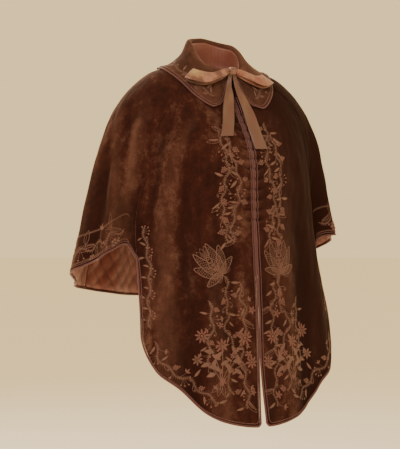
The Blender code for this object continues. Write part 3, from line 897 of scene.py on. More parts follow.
@dataclass(frozen=True)
class VelvetPanels:
    """The five velvet panels."""

    thickness: float = 0.0014
    seam_dip: float = 0.0016
    seam_reach: float = 0.0036
    edge_roll: float = 0.0009
    edge_reach: float = 0.003

    def build(self, finish: bpy.types.Material) -> list[bpy.types.Object]:
        """Makes and dresses the panels."""
        return [self.panel(cut, finish) for cut in CUTS]

    def panel(self, cut: Cut, finish: bpy.types.Material) -> bpy.types.Object:
        """Makes one panel.

        Args:
            cut: The panel's cut.
            finish: The velvet.

        Returns:
            The piece.
        """
        def lay(u: Array, v: Array) -> tuple[Array, Array, Values]:
            """Places of the panel's grid."""
            side, angle, level, seam, free = cut.lay(u, v, 0.0)
            depth = self.seam_dip * np.exp(-((seam / self.seam_reach) ** 2))
            depth += self.edge_roll * np.exp(-((free / self.edge_reach) ** 2))
            normal = DRAPE.normal(side, angle, level)
            places = DRAPE.point(side, angle, level) - normal * depth[:, None]
            fine = DRAPE.fine_relief(side, angle, level)
            relief = DRAPE.relief(side, angle, level) + fine
            # Painted light: shadow, dip, the pulls' hollows and far give painted shade beside the seams, in the fold
            # valleys, in the hollows and over the wearer's left front and sleeve; the fold ridges and a band below each
            # pull get a painted highlight
            shadow = np.exp(-((seam / 0.008) ** 2))
            dip = np.clip(-relief / 0.010, 0.0, 0.85)
            hollow, pale_and_highlight = DRAPE.pulls(angle, level)
            far = np.where(side > 0, eased(9.0, 40.0, angle) * (1 - eased(85.0, 165.0, angle)), 0.0)
            values = {
                "painted_highlight": np.clip(relief / 0.012, 0.0, 1.0) * (1 - 0.75 * far) + 0.9 * pale_and_highlight,
                "painted_shade": np.clip(dip + 0.12 * shadow + 0.6 * hollow + 0.85 * far, 0.0, 1.0),
            }
            return places, normal, values

        piece = cloth("velvet_" + cut.name, cut.steps, lay, finish, self.thickness)
        return dressed(piece, "velvet", cut.name)


@dataclass(frozen=True)
class QuiltedLining:
    """The five lining panels, quilted in rounded diamonds."""

    depth: float = 0.0036
    edge_depth: float = 0.0024
    puff: float = 0.0034
    degrees: float = 3.1
    length: float = 0.0165
    thickness: float = 0.0008

    def build(self, finish: bpy.types.Material) -> list[bpy.types.Object]:
        """Makes and dresses the panels."""
        return [self.panel(cut, finish) for cut in CUTS]

    def panel(self, cut: Cut, finish: bpy.types.Material) -> bpy.types.Object:
        """Makes one panel.

        Args:
            cut: The panel's cut.
            finish: The silk.

        Returns:
            The piece.
        """
        def lay(u: Array, v: Array) -> tuple[Array, Array, Values]:
            """Places of the panel's grid."""
            side, angle, level, seam, free = cut.lay(u, v, 0.0015)
            down = np.interp(level, DRAPE.levels, DRAPE.lengths)
            first = math.pi * (down / self.length + angle / self.degrees) / 2
            second = math.pi * (down / self.length - angle / self.degrees) / 2
            pillow = np.sqrt(np.abs(np.sin(first) * np.sin(second)))
            edge = np.minimum(seam, free)
            height = self.puff * pillow * eased(1.0, 3.0, level) * eased(0.0, 0.010, edge)
            depth = self.edge_depth + (self.depth - self.edge_depth) * eased(0.0, 0.008, edge) + height
            normal = DRAPE.normal(side, angle, level)
            places = DRAPE.point(side, angle, level) - normal * depth[:, None]
            # Painted shade between the puffs, darkest along the stitching
            return places, -normal, {"groove_shade": np.clip(1 - 1.5 * pillow, 0.0, 1.0)}

        piece = cloth("quilted_" + cut.name, cut.steps, lay, finish, self.thickness)
        return dressed(piece, "lining", "lining_" + cut.name)


# Collar


class CollarForm:
    """The collar's outer face, sampled closely once and read between the samples."""

    stand_front = 0.016
    stand_back = 0.052
    stand_rise = (45, 115)
    stand_lean = -0.15
    foot_up = 0.0045
    foot_in = 0.001
    stand = ((0.62, 0.7, 0.0, 0.0), (1.0, 1.0, 0.002, 0.0035), (1.0, 1.0, 0.0015, 0.0125))
    fall = ((0.3, 0.30, 0.010, 0.25), (0.6, 0.62, 0.0035, 0.0), (0.85, 0.85, 0.001, 0.0), (1.0, 1.0, 0.0, 0.0))
    clear = 0.0022
    lean = 17.0
    spread = 1.15
    columns = 241
    rows = 61

    def __init__(self) -> None:
        """Samples the face."""
        u = np.linspace(0.0, 1.0, self.columns)
        side, angle = self.turn(u)
        section = self.section(side, angle)
        v = np.linspace(0.0, 1.0, self.rows) * (section.shape[1] - 1)
        grid = np.stack([between(section[k], v) for k in range(self.columns)])
        wave = np.sin(np.radians(angle) * 9 + side)[:, None] * np.linspace(0, 1, self.rows)[None, :] ** 2
        down, across = np.gradient(grid, axis=1), np.gradient(grid, axis=0)
        normal = unit(np.cross(across, down))
        self.normals = normal * np.sign(np.sum(normal[:, -8] * np.array([0, 0, 1.0]), axis=1))[:, None, None]
        self.grid = grid + self.normals * (0.0009 * wave)[:, :, None]

    def turn(self, u: Array) -> tuple[Array, Array]:
        """Side and angle of the columns, from the right front edge to the left one."""
        side = np.where(u < 0.5, -1.0, 1.0)
        share = 1 - np.abs(2 * u - 1)
        first = COLLAR_EDGE[0, 0]
        return side, first + (180.0 - first) * share ** self.spread

    def column(self, side: Side, angle: float) -> float:
        """The place along the collar, from 0 to 1, of an angle at one side."""
        first = COLLAR_EDGE[0, 0]
        share = max((angle - first) / (180.0 - first), 0.0) ** (1 / self.spread)
        return share / 2 if side is Side.RIGHT else 1 - share / 2

    def section(self, side: Array, angle: Array) -> Array:
        """The points of the collar's section at each column, from the neck seam to the edge.

        Args:
            side: -1 or 1 for each column.
            angle: The columns' angles.

        Returns:
            An array of columns by points by x, y and z.
        """
        turn = np.radians(angle)
        out = np.stack((side * np.sin(turn), -np.cos(turn), np.zeros_like(turn)), axis=1)
        up = np.array([0.0, 0.0, 1.0])
        rise = (self.stand_front + (self.stand_back - self.stand_front) * eased(*self.stand_rise, angle))[:, None]
        edge = table_value(COLLAR_EDGE, angle)
        above = COLLAR_WALL + self.clear
        lean_by = self.lean * (1 - eased(3, 70, angle))
        foot = DRAPE.point(side, angle, np.zeros_like(angle)) + up * self.foot_up - out * self.foot_in
        points = [foot]
        for height, lean, down, away in self.stand:
            points.append(foot + up * (rise * height - down) + out * (self.stand_lean * rise * lean + away))
        for lean, reach, off, lift in self.fall:
            place = DRAPE.placed(side, angle + lean_by * lean, edge * reach, np.full_like(angle, -above - off))
            points.append(place + up * lift * rise)
        return np.stack(points, axis=1)

    def at(self, u: Array, v: Array, depth: Array | float) -> Array:
        """Places under the outer face.

        Args:
            u: Places along the collar, from 0 to 1.
            v: Places from the neck seam to the edge, from 0 to 1.
            depth: Metres under the outer face.

        Returns:
            The places.
        """
        return self.read(self.grid, u, v) - self.read(self.normals, u, v) * np.reshape(depth, (-1, 1))

    def read(self, values: Array, u: Array, v: Array) -> Array:
        """Values of a sampled grid between its samples."""
        x = np.clip(np.atleast_1d(u), 0.0, 1.0) * (self.columns - 1)
        y = np.clip(np.atleast_1d(v), 0.0, 1.0) * (self.rows - 1)
        i, j = np.minimum(x.astype(int), self.columns - 2), np.minimum(y.astype(int), self.rows - 2)
        a, b = (x - i)[:, None], (y - j)[:, None]
        low = values[i, j] * (1 - a) + values[i + 1, j] * a
        high = values[i, j + 1] * (1 - a) + values[i + 1, j + 1] * a
        return low * (1 - b) + high * b


COLLAR = CollarForm()


@dataclass(frozen=True)
class CollarPieces:
    """The velvet collar and the silk facing inside its stand."""

    steps: tuple[int, int] = (200, 48)
    facing_steps: tuple[int, int] = (180, 10)
    facing_ends: float = 2 / 36
    facing_top: float = 0.215
    facing_foot: float = 0.03
    facing_turn: float = 0.22
    facing_drop: float = 0.009

    def build(self, velvet: bpy.types.Material, silk: bpy.types.Material) -> list[bpy.types.Object]:
        """Makes and dresses the collar and its facing.

        Args:
            velvet: The collar's finish.
            silk: The facing's finish.

        Returns:
            The two pieces.
        """
        def lay(u: Array, v: Array) -> tuple[Array, Array, Values]:
            """Places of the collar's grid."""
            edge = np.minimum(np.minimum(u, 1 - u) * 0.75, (1 - v) * 0.11)
            depth = 0.0008 * np.exp(-((edge / 0.0025) ** 2)) + 0.0010 * np.exp(-(((u - 0.5) / 0.004) ** 2))
            normal = COLLAR.read(COLLAR.normals, u, v)
            # A painted highlight over the whole collar, strongest along its roll, and a little painted shade below it
            # where it falls
            roll = np.exp(-(((v - 0.40) / 0.10) ** 2))
            fall = np.exp(-(((v - 0.66) / 0.10) ** 2))
            return COLLAR.at(u, v, depth), normal, {"painted_highlight": 1.0 + 0.8 * roll, "painted_shade": 0.05 * fall}

        def lay_facing(u: Array, v: Array) -> tuple[Array, Array, Values]:
            """Places of the facing's grid, with small gathers."""
            along = self.facing_ends + (1 - 2 * self.facing_ends) * u
            down = self.facing_top * (v - self.facing_turn) / (1 - self.facing_turn)
            below = np.minimum(down - self.facing_foot, 0.0) / self.facing_top * self.facing_drop * 3
            down = np.maximum(down, self.facing_foot)
            gather = 0.00014 * np.sin(along * 2 * math.pi * 46)
            depth = -(SEAM_GAP + 0.0012) + gather
            normal = COLLAR.read(COLLAR.normals, along, down)
            # Painted shade in the hollows of the gathers
            groove_shade = np.clip(0.18 * np.sin(along * 2 * math.pi * 46), 0.0, 1.0)
            places = COLLAR.at(along, down, depth) + below[:, None] * np.array([0.0, 0.0, 1.0])
            return places, normal, {"groove_shade": groove_shade}

        collar = cloth("velvet_collar", self.steps, lay, velvet, COLLAR_WALL - 0.0004)
        facing = cloth("silk_collar_facing", self.facing_steps, lay_facing, silk, 0.0008)
        return [dressed(collar, "velvet", "collar_right", "collar_left"), dressed(facing, "lining", "collar_facing")]


# Piping


@dataclass(frozen=True)
class PipedEdges:
    """Wound cord round every free edge, and a thin cord sewn beside it on the velvet."""

    spacing: float = 0.0022
    inner_radius: float = 0.0009
    inner_away: float = 0.0058

    def build(self, finish: bpy.types.Material) -> list[bpy.types.Object]:
        """Makes and dresses the cords."""
        made = []
        for side in SIDES:
            outer = self.even(self.edge(side, 0.0, VELVET / 2))
            piece = cord("cord_" + side.word, outer, PIPING_RADIUS, finish)
            made.append(dressed(piece, "piping", "piping_" + side.word))
            inner = self.even(self.edge(side, self.inner_away, -self.inner_radius * 0.7))
            line = cord("cord_inner_" + side.word, inner, self.inner_radius, finish, sides=6, pitch=0.0026)
            made.append(dressed(line, "piping"))
        piece = cord("cord_collar", self.even(self.collar(COLLAR_PIPING * 0.9, COLLAR_WALL / 2)), COLLAR_PIPING, finish)
        made.append(dressed(piece, "piping", "piping_collar"))
        inner = self.even(self.collar(-0.0048, -0.0004))
        made.append(dressed(cord("cord_inner_collar", inner, 0.0008, finish, sides=6, pitch=0.0026), "piping"))
        return made

    def even(self, points: Array) -> Array:
        """The same line with its points evenly spaced."""
        steps = np.linalg.norm(np.diff(points, axis=0), axis=1)
        length = np.concatenate(([0.0], np.cumsum(steps)))
        spots = np.linspace(0.0, length[-1], int(length[-1] / self.spacing))
        line = np.stack([np.interp(spots, length, points[:, k]) for k in range(3)], axis=1)
        kernel = np.array([0.25, 0.5, 0.25])
        for k in range(3):
            line[1:-1, k] = np.convolve(line[:, k], kernel, mode="valid")
        return line

    def edge(self, side: Side, away: float, depth: float) -> Array:
        """A line along one side's free edges, from the neck at the front to the centre back.

        Args:
            side: The side.
            away: How far it runs inside the piping's own line.
            depth: How far it lies under the velvet's face.

        Returns:
            The line's points.
        """
        word = float(side.value)
        meet = float(sleeve_level(np.array([word]), np.array([FRONT_SEAM]))[0])
        runs: list[tuple[Array, Array]] = []
        level = np.linspace(0.55 + away * 20, 8.9 - away * 12, 300)
        inward = parting(level) - PIPING_RADIUS - 3 * SEAM_GAP + away
        runs.append((inward / DRAPE.per_degree(word, np.zeros_like(level), level), level))
        corner = np.linspace(0.02, math.pi / 2, 160)
        share = np.sin(corner)
        rim = front_level(share)
        rise = (PIPING_RADIUS + away * np.cos(corner)) / DRAPE.per_level(word, FRONT_SEAM * share, rim)
        inner = (parting(rim) - PIPING_RADIUS - 3 * SEAM_GAP) / DRAPE.per_degree(word, np.zeros_like(rim), rim)
        across = inner + (FRONT_SEAM - inner) * share
        across -= away * (share - np.cos(corner)) / DRAPE.per_degree(word, np.full_like(rim, 50.0), rim)
        runs.append((across, rim - rise))
        level = np.linspace(HEM_START, meet, 120)[1:]
        offset = away / DRAPE.per_degree(word, np.full_like(level, FRONT_SEAM - 1), level)
        runs.append((FRONT_SEAM - offset, level))
        angle = np.linspace(FRONT_SEAM - (away > 0) * 0.5, 180.0 - 0.03, 300)
        rim = sleeve_level(np.full_like(angle, word), angle)
        rise = (PIPING_RADIUS + away) / DRAPE.per_level(word, angle, rim)
        runs.append((angle, rim - rise))
        angles = np.concatenate([run[0] for run in runs])
        levels = np.concatenate([run[1] for run in runs])
        return DRAPE.placed(word, angles, levels, np.full_like(angles, depth))

    def collar(self, away: float, depth: float) -> Array:
        """A line round the collar's edge, from one front edge to the other."""
        lines = []
        rows = np.linspace(0.43, 0.99, 60)
        round_edge = np.linspace(0.0, 1.0, 260)
        for u, near in ((0.0, 0.01), (1.0, 0.99)):
            ends, inside = np.full_like(rows, u), np.full_like(rows, near)
            edge = COLLAR.at(ends, rows, depth)
            lines.append(edge + unit(edge - COLLAR.at(inside, rows, depth)) * away)
        last = np.ones_like(round_edge)
        edge = COLLAR.at(round_edge, last, depth)
        out = unit(edge - COLLAR.at(round_edge, last * 0.97, depth))
        if away < 0:
            keep = (round_edge > 0.012) & (round_edge < 0.988)
            return np.concatenate((lines[0][:-3], (edge + out * away)[keep], lines[1][:-3][::-1]))
        return np.concatenate((lines[0], edge + out * away, lines[1][::-1]))


# Ribbon bow


@dataclass(frozen=True)
class RibbonBow:
    """The bow at the throat: a knot, two loops and two hanging tails."""

    knot: tuple[float, float, float] = (0.0, -0.107, 0.013)
    knot_size: tuple[float, float, float] = (0.020, 0.016, 0.017)
    tail_root: float = 0.005
    loop_root: float = 0.003
    upright: float = 0.6
    slope: float = 0.1
    thickness: float = 0.0006
    loop: tuple[tuple[float, float, float, float], ...] = (
        (18.0, 0.53, 0.018, 0.022), (34.0, 0.64, 0.019, 0.030), (49.0, 0.72, 0.017, 0.033),
        (56.0, 0.75, 0.012, 0.032), (49.0, 0.72, 0.006, 0.031), (34.0, 0.64, 0.007, 0.029),
        (18.0, 0.54, 0.009, 0.020),
    )
    tail_right: tuple[tuple[float, float, float, float], ...] = (
        (7.0, 0.42, 0.0148, 0.014), (10.5, 0.80, 0.0142, 0.024), (14.5, 1.25, 0.013, 0.029),
        (17.0, 1.75, 0.009, 0.030), (19.0, 2.30, 0.007, 0.031),
    )
    tail_left: tuple[tuple[float, float, float, float], ...] = (
        (6.6, 0.42, 0.0153, 0.014), (6.4, 0.85, 0.0148, 0.022), (6.2, 1.35, 0.013, 0.028),
        (5.8, 1.95, 0.009, 0.029), (6.6, 2.58, 0.007, 0.030),
    )

    # The paler colour of the tails, much dimmer than the loops': painted shade on the same satin
    tail_light: Color = (0.084, 0.034, 0.026)

    def build(self, finish: RibbonFinish) -> list[bpy.types.Object]:
        """Makes and dresses the bow.

        Args:
            finish: The ribbon's finish.

        Returns:
            The pieces.
        """
        tan = finish.material("satin_tan", 0.15)
        # The tails take a darker copy of the satin, as painted shade
        shaded_satin = replace(finish, light=self.tail_light).material("satin_shaded", 0.10)
        pink = finish.material("satin_rose", 0.85)
        made = []
        for side, satin, tail in ((Side.RIGHT, tan, self.tail_right), (Side.LEFT, pink, self.tail_left)):
            loop = self.strip("satin_loop_" + side.word, self.loop_rows(side), (120, 20), satin, side, True)
            made.append(dressed(loop, "ribbon", "ribbon_loop_" + side.word))
            hang = self.strip("satin_tail_" + side.word, self.tail_rows(side, tail), (100, 20), shaded_satin, side, False)
            made.append(dressed(hang, "ribbon", "ribbon_tail_" + side.word))
        made.append(self.build_knot(tan))
        return made

    def loop_rows(self, side: Side) -> Array:
        """Rows of one loop: centre, direction across and width, from the knot out and back."""
        widest = max(spot[3] for spot in self.loop)
        rows = []
        for angle, share, lift, width in self.loop:
            u = np.array([COLLAR.column(side, angle)])
            centre = COLLAR.at(u, np.array([share]), -lift)[0]
            above = COLLAR.at(u, np.array([share - self.slope]), 0.0)[0]
            across = unit(above - COLLAR.at(u, np.array([share + self.slope]), 0.0)[0])
            across = unit(across + np.array([0.0, 0.0, self.upright * (1 - width / widest)]))
            rows.append((*centre, *across, width))
        ends = []
        for front in (-self.loop_root, self.loop_root):
            root = (side.value * self.knot_size[0] * 0.38, self.knot[1] + front, self.knot[2])
            ends.append((*root, 0.0, 0.0, 1.0, 2 * self.tail_root))
        return np.array(ends[:1] + rows + ends[1:])

    def tail_rows(self, side: Side, table: Sequence[tuple[float, float, float, float]]) -> Array:
        """Rows of one tail, from under the knot to its square-cut end."""
        root = (side.value * self.tail_root, self.knot[1], self.knot[2] - self.knot_size[2] * 0.3)
        rows = [(*root, 1.0, 0.0, 0.0, 2 * self.tail_root)]
        for angle, level, lift, width in table:
            place = DRAPE.placed(side.value, np.array([angle]), np.array([level]), -lift)[0]
            normal = DRAPE.normal(side.value, np.array([angle]), np.array([level]))[0]
            across = unit(np.array([1.0, 0.0, 0.0]) - normal * normal[0])
            rows.append((*place, *across, width))
        return np.array(rows)

    def strip(
        self, name: str, rows: Array, steps: tuple[int, int], satin: bpy.types.Material, side: Side, is_loop: bool,
    ) -> bpy.types.Object:
        """A length of ribbon along its rows, pinched at the knot and softly curled.

        Args:
            name: The piece's name.
            rows: Centres, directions across and widths.
            steps: Grid steps along and across.
            satin: The piece's material.
            side: The side of the bow.
            is_loop: True for a loop, which is pinched at both ends.

        Returns:
            The piece.
        """
        last = len(rows) - 1

        def lay(u: Array, v: Array) -> tuple[Array, Array, Values]:
            """Places of the ribbon's grid."""
            here = between(rows, u * last)
            ahead = between(rows, np.minimum(u + 0.01, 1.0) * last)[:, :3]
            behind = between(rows, np.maximum(u - 0.01, 0.0) * last)[:, :3]
            across = unit(here[:, 3:6])
            normal = unit(np.cross(ahead - behind, across))
            pinch = np.exp(-u / 0.16) + (np.exp(-(1 - u) / 0.16) if is_loop else 0.0)
            pleat = 0.0011 * pinch * np.cos(2 * math.pi * 2.5 * v + side.value * 0.8)
            curl = 0.0016 * np.sin(math.pi * v) * np.sin(2 * math.pi * (1.35 * u + 0.1 * side.value))
            soft = 0.0008 * np.sin(2 * math.pi * (2.2 * u + 0.8 * v)) * np.sin(math.pi * np.clip(u, 0, 1))
            offset = pleat + (curl + soft) * (1 - np.clip(pinch, 0, 1))
            places = here[:, :3] + across * (here[:, 6] * (v - 0.5))[:, None] + normal * offset[:, None]
            rim = np.minimum(v, 1 - v) * here[:, 6]
            # A pale gold painted highlight across the middle of the strip, where a loop folds back: strong on the right
            # loop, faint on the rest
            end = np.exp(-(((u - 0.42) / 0.09) ** 2)) * eased(0.15, 0.8, v)
            gold_highlight_share = 0.85 * end if is_loop and side is Side.RIGHT else 0.10 * end
            values = {
                "gold_highlight": gold_highlight_share,
                "selvage_and_crease_shade": np.exp(-((rim / 0.0009) ** 2)) * 0.6,
                "rib": v * here[:, 6] * 2 * math.pi / 0.0007,
            }
            return places, normal, values

        return cloth(name, steps, lay, satin, self.thickness)

    def build_knot(self, satin: bpy.types.Material) -> bpy.types.Object:
        """The knot: a rounded lump of ribbon with upright creases."""
        lump = bmesh.new()
        bmesh.ops.create_uvsphere(lump, u_segments=64, v_segments=32, radius=0.5)
        rib = lump.verts.layers.float.new("rib")
        selvage_and_crease_shade = lump.verts.layers.float.new("selvage_and_crease_shade")
        for vert in lump.verts:
            x, y, z = vert.co * 2
            crease = 0.055 * math.cos(x * 9.0 + 1.4 * z) * (1 - z * z)
            waist = 1 - 0.16 * math.exp(-((z / 0.45) ** 2))
            size = 0.5 * (1 + crease)
            bulge = 1 / max(abs(x) ** 3 + abs(y) ** 3 + abs(z) ** 3, 0.2) ** (1 / 3)
            vert[rib] = x * 60.0
            # Painted shade in the hollows of the knot's creases, carried with the selvage's dark
            vert[selvage_and_crease_shade] = max(-crease * 9, 0.0)
            vert.co = Vector((
                self.knot[0] + x * bulge * size * self.knot_size[0] * waist,
                self.knot[1] + y * bulge * size * self.knot_size[1],
                self.knot[2] + z * bulge * size * self.knot_size[2],
            ))
        mesh = bpy.data.meshes.new("satin_knot")
        lump.to_mesh(mesh)
        lump.free()
        return dressed(put_in_scene("satin_knot", mesh, satin), "ribbon", "ribbon_knot")


# Embroidery


class Tone(Enum):
    """The colour of a thread, from tan to rose."""

    TAN = 0.15
    WARM = 0.45
    ROSE = 1.0


@dataclass(frozen=True)
class Spot:
    """A place on the cape with a heading: 0 is up to the neck, 90 away from the centre front."""

    angle: float
    level: float
    heading: float = 0.0


class Ground(Enum):
    """What the embroidery lies on."""

    CAPE = "cape"
    COLLAR = "collar"


@dataclass
class Needlework:
    """Embroidered shapes for one side, gathered as flat patches and laid on the cloth at the end."""

    name: str
    side: Side
    ground: Ground = Ground.CAPE
    stitch: float = 0.0038
    limits: tuple[float, float] = (0.0, 180.0)
    mesh: bmesh.types.BMesh = field(default_factory=bmesh.new)
    spots: list[tuple[float, float, float]] = field(default_factory=list)
    threads: list[float] = field(default_factory=list)
    tones: list[float] = field(default_factory=list)
    dice: random.Random = field(default_factory=lambda: random.Random(7))
    known: dict[tuple[int, int], tuple[float, float, float]] = field(default_factory=dict)

    def frame(self, angle: float, level: float) -> tuple[float, float, float]:
        """Metres for a degree, slant of a level and metres for a level, at one place.

        Args:
            angle: The angle, or the column on the collar.
            level: The level, or the row on the collar.

        Returns:
            The three numbers.
        """
        fine = 100 if self.ground is Ground.COLLAR else 1
        key = (round(angle * fine), round(level * 20 * max(fine / 20, 1)))
        if key not in self.known:
            if self.ground is Ground.COLLAR:
                self.known[key] = self._collar_frame(angle, level)
            else:
                self.known[key] = self._cape_frame(angle, level)
        return self.known[key]

    def _cape_frame(self, angle: float, level: float) -> tuple[float, float, float]:
        """The same on the cape's smooth surface."""
        ends = DRAPE.smooth(
            np.full(4, float(self.side.value)), np.array([angle - 0.5, angle + 0.5, angle, angle]),
            np.array([level, level, level - 0.05, level + 0.05]))
        across, down = ends[1] - ends[0], (ends[3] - ends[2]) * 10
        size = float(np.linalg.norm(across))
        slant = float(down.dot(across / size))
        return size, slant, math.sqrt(max(float(down.dot(down)) - slant * slant, 1e-8))

    def _collar_frame(self, column: float, row: float) -> tuple[float, float, float]:
        """The same on the collar, where columns and rows go from 0 to 1."""
        step = 0.01
        u = np.array([column - step, column + step, column, column])
        v = np.array([row, row, row - step, row + step])
        ends = COLLAR.at(np.clip(u, 0, 1), np.clip(v, 0, 1), 0.0)
        across, down = (ends[1] - ends[0]) / (2 * step), (ends[3] - ends[2]) / (2 * step)
        across = across * (1.0 if self.side is Side.RIGHT else -1.0)
        size = float(np.linalg.norm(across))
        slant = float(down.dot(across / size))
        return size, slant, math.sqrt(max(float(down.dot(down)) - slant * slant, 1e-8))

    def moved(self, spot: Spot, across: float, along: float) -> tuple[float, float]:
        """The angle and level of a place near a spot.

        Args:
            spot: The spot with its heading.
            across: Metres to the right of the heading.
            along: Metres along the heading.

        Returns:
            Angle and level.
        """
        return self._step(spot, self.frame(spot.angle, spot.level), across, along)

    def _step(self, spot: Spot, sizes: tuple[float, float, float], across: float, along: float) -> tuple[float, float]:
        """The same with the frame already known."""
        turn = math.radians(spot.heading)
        x = along * math.sin(turn) + across * math.cos(turn)
        y = -along * math.cos(turn) + across * math.sin(turn)
        level = y / sizes[2]
        shift = (x - sizes[1] * level) / sizes[0]
        if self.ground is Ground.COLLAR and self.side is Side.LEFT:
            shift = -shift
        return spot.angle + shift, spot.level + level

    def patch(
        self, spot: Spot, steps: tuple[int, int], shape: Callable[[float, float], tuple[float, float, float, float]],
        tone: float,
    ) -> None:
        """Adds a small grid near a spot.

        Args:
            spot: Where it lies.
            steps: Grid steps across and along.
            shape: Gives metres across, metres along, height and thread phase for u and v from 0 to 1.
            tone: The thread's colour.
        """
        sizes = self.frame(spot.angle, spot.level)
        made = bmesh.ops.create_grid(self.mesh, x_segments=steps[0], y_segments=steps[1], size=0.5)["verts"]
        for vert in made:
            across, along, height, phase = shape(vert.co.x + 0.5, vert.co.y + 0.5)
            self.spots.append((*self._step(spot, sizes, across, along), height))
            self.threads.append(phase)
            self.tones.append(tone)

    def leaf(self, spot: Spot, length: float, width: float, tone: float, bend: float = 0.0) -> None:
        """A leaf from its foot along the heading: corded round an open ground, or filled where it is small."""
        if length > OPEN_LEAF:
            for mirror in (-1, 0, 1):
                line = []
                for k in range(9 if mirror else 6):
                    v = k / 8
                    across = mirror * width / 2 * math.sin(math.pi * v ** 0.82) ** 0.85 if 0 < v < 1 else 0.0
                    line.append(self.moved(spot, across + bend * length * v * v, v * length))
                self.stem(line, 0.0014 if mirror else 0.0010, tone, 0.8)
            return

        def shape(u: float, v: float) -> tuple[float, float, float, float]:
            """The leaf's outline and relief."""
            side = 2 * u - 1
            half = width / 2 * math.sin(math.pi * v ** 0.82) ** 0.85 if 0 < v < 1 else 0.0
            across = side * half + bend * length * v * v
            height = -0.0001 + 0.0009 * (1 - side * side) * (0.35 + 0.65 * abs(side)) * 2.0
            height = height if 0 < v < 1 else 0.0
            phase = (v * length - abs(side) * half * 0.9) * 2 * math.pi / 0.0009
            return across, v * length, height, phase

        self.patch(spot, (6, 7), shape, tone)

    def petal(self, spot: Spot, length: float, width: float, tone: float) -> None:
        """A pointed petal, widest below its middle."""
        def shape(u: float, v: float) -> tuple[float, float, float, float]:
            """The petal's outline and relief."""
            side = 2 * u - 1
            half = width / 2 * math.sin(math.pi * min(0.12 + 0.88 * v ** 1.10, 1.0)) ** 0.85
            along = length * (v + 0.10 * (1 - side * side) * v)
            height = -0.0001 + 0.0010 * (1 - side * side) * math.sin(math.pi * min(v + 0.12, 1.0)) ** 0.5
            return side * half, along, height, side * width * 2 * math.pi / 0.0012

        self.patch(spot, (5, 5), shape, tone)

    def berry(self, spot: Spot, radius: float, tone: float) -> None:
        """A small raised berry of round stitches."""
        def shape(u: float, v: float) -> tuple[float, float, float, float]:
            """The berry's outline and relief: a square grid rounded to a disc."""
            x, y = 2 * u - 1, 2 * v - 1
            flat_x, flat_y = x * math.sqrt(1 - y * y / 2), y * math.sqrt(1 - x * x / 2)
            far = math.hypot(flat_x, flat_y)
            height = -0.0001 + radius * 0.62 * math.sqrt(max(1 - far * far, 0.0))
            return flat_x * radius, flat_y * radius, height, far * radius * 2 * math.pi / 0.0008

        self.patch(spot, (4, 4), shape, tone)

    def stem(self, line: Sequence[tuple[float, float]], width: float, tone: float, taper: float = 1.0) -> None:
        """A raised line of stitches through angles and levels.

        Args:
            line: The angles and levels.
            width: Its width.
            tone: The thread's colour.
            taper: The width at its end, as a share.
        """
        count = len(line)
        frames = [self.frame(*place) for place in line]
        flip = -1.0 if self.ground is Ground.COLLAR and self.side is Side.LEFT else 1.0
        headings, run, length = [], [0.0], 0.0
        for k in range(count):
            (a0, l0), (a1, l1) = line[max(k - 1, 0)], line[min(k + 1, count - 1)]
            x = (a1 - a0) * frames[k][0] * flip + (l1 - l0) * frames[k][1]
            y = (l1 - l0) * frames[k][2]
            headings.append(math.degrees(math.atan2(x, -y)))
            if k:
                length += 0.5 * math.hypot(x, y)
                run.append(length)
        made = bmesh.ops.create_grid(self.mesh, x_segments=2, y_segments=count - 1, size=0.5)["verts"]
        for vert in made:
            k = round((vert.co.y + 0.5) * (count - 1))
            side = vert.co.x * 2
            half = width / 2 * (1 + (taper - 1) * k / (count - 1))
            place = Spot(line[k][0], line[k][1], headings[k])
            height = -0.00015 if abs(side) > 0.5 else 0.00035 + 0.35 * half
            self.spots.append((*self._step(place, frames[k], side * half, 0.0), height))
            self.threads.append((run[k] + side * half) * 2 * math.pi / 0.0011)
            self.tones.append(tone)

    def curve(self, spot: Spot, length: float, turn: float, width: float, tone: float, steps: int = 10) -> Spot:
        """A stem that starts at a spot and turns evenly by some degrees.

        Returns:
            The spot at its end.
        """
        line = [(spot.angle, spot.level)]
        here = spot
        for k in range(steps):
            angle, level = self.moved(here, 0.0, length / steps)
            here = Spot(angle, level, here.heading + turn / steps)
            line.append((angle, level))
        self.stem(line, width, tone, 0.7)
        return here

    def tendril(self, spot: Spot, length: float, turn: float, tone: float) -> None:
        """A thin tendril that curls tighter and tighter to a small ball."""
        line = [(spot.angle, spot.level)]
        here, steps = spot, 20
        for k in range(steps):
            angle, level = self.moved(here, 0.0, length * (1.5 - k / steps) / steps)
            here = Spot(angle, level, here.heading + turn * 2.2 * (k / steps) ** 1.4 / steps)
            line.append((angle, level))
        self.stem(line, 0.0015, tone, 0.8)
        self.berry(Spot(here.angle, here.level), 0.0016, tone)

    def sprig(self, spot: Spot, size: float, count: int, tone: float) -> None:
        """A fan of fine stems, each with a berry."""
        for k in range(count):
            share = (k / (count - 1) - 0.5) if count > 1 else 0.0
            start = Spot(spot.angle, spot.level, spot.heading + share * 95)
            end = self.curve(start, size * (1 - 0.35 * abs(share)), share * 40, 0.0009, tone, 5)
            self.berry(end, 0.0021, Tone.ROSE.value if k % 2 else tone)

    def pod(self, spot: Spot, length: float, tone: float) -> None:
        """A long pod with an outline and a row of seeds."""
        for mirror in (-1, 1):
            line = []
            for k in range(9):
                v = k / 8
                line.append(self.moved(spot, mirror * length * 0.17 * math.sin(math.pi * v), length * v))
            self.stem(line, 0.0012, tone)
        for k in range(4):
            angle, level = self.moved(spot, 0.0, length * (0.22 + 0.17 * k))
            self.berry(Spot(angle, level), 0.0017 - 0.0002 * abs(k - 1.5), Tone.ROSE.value)

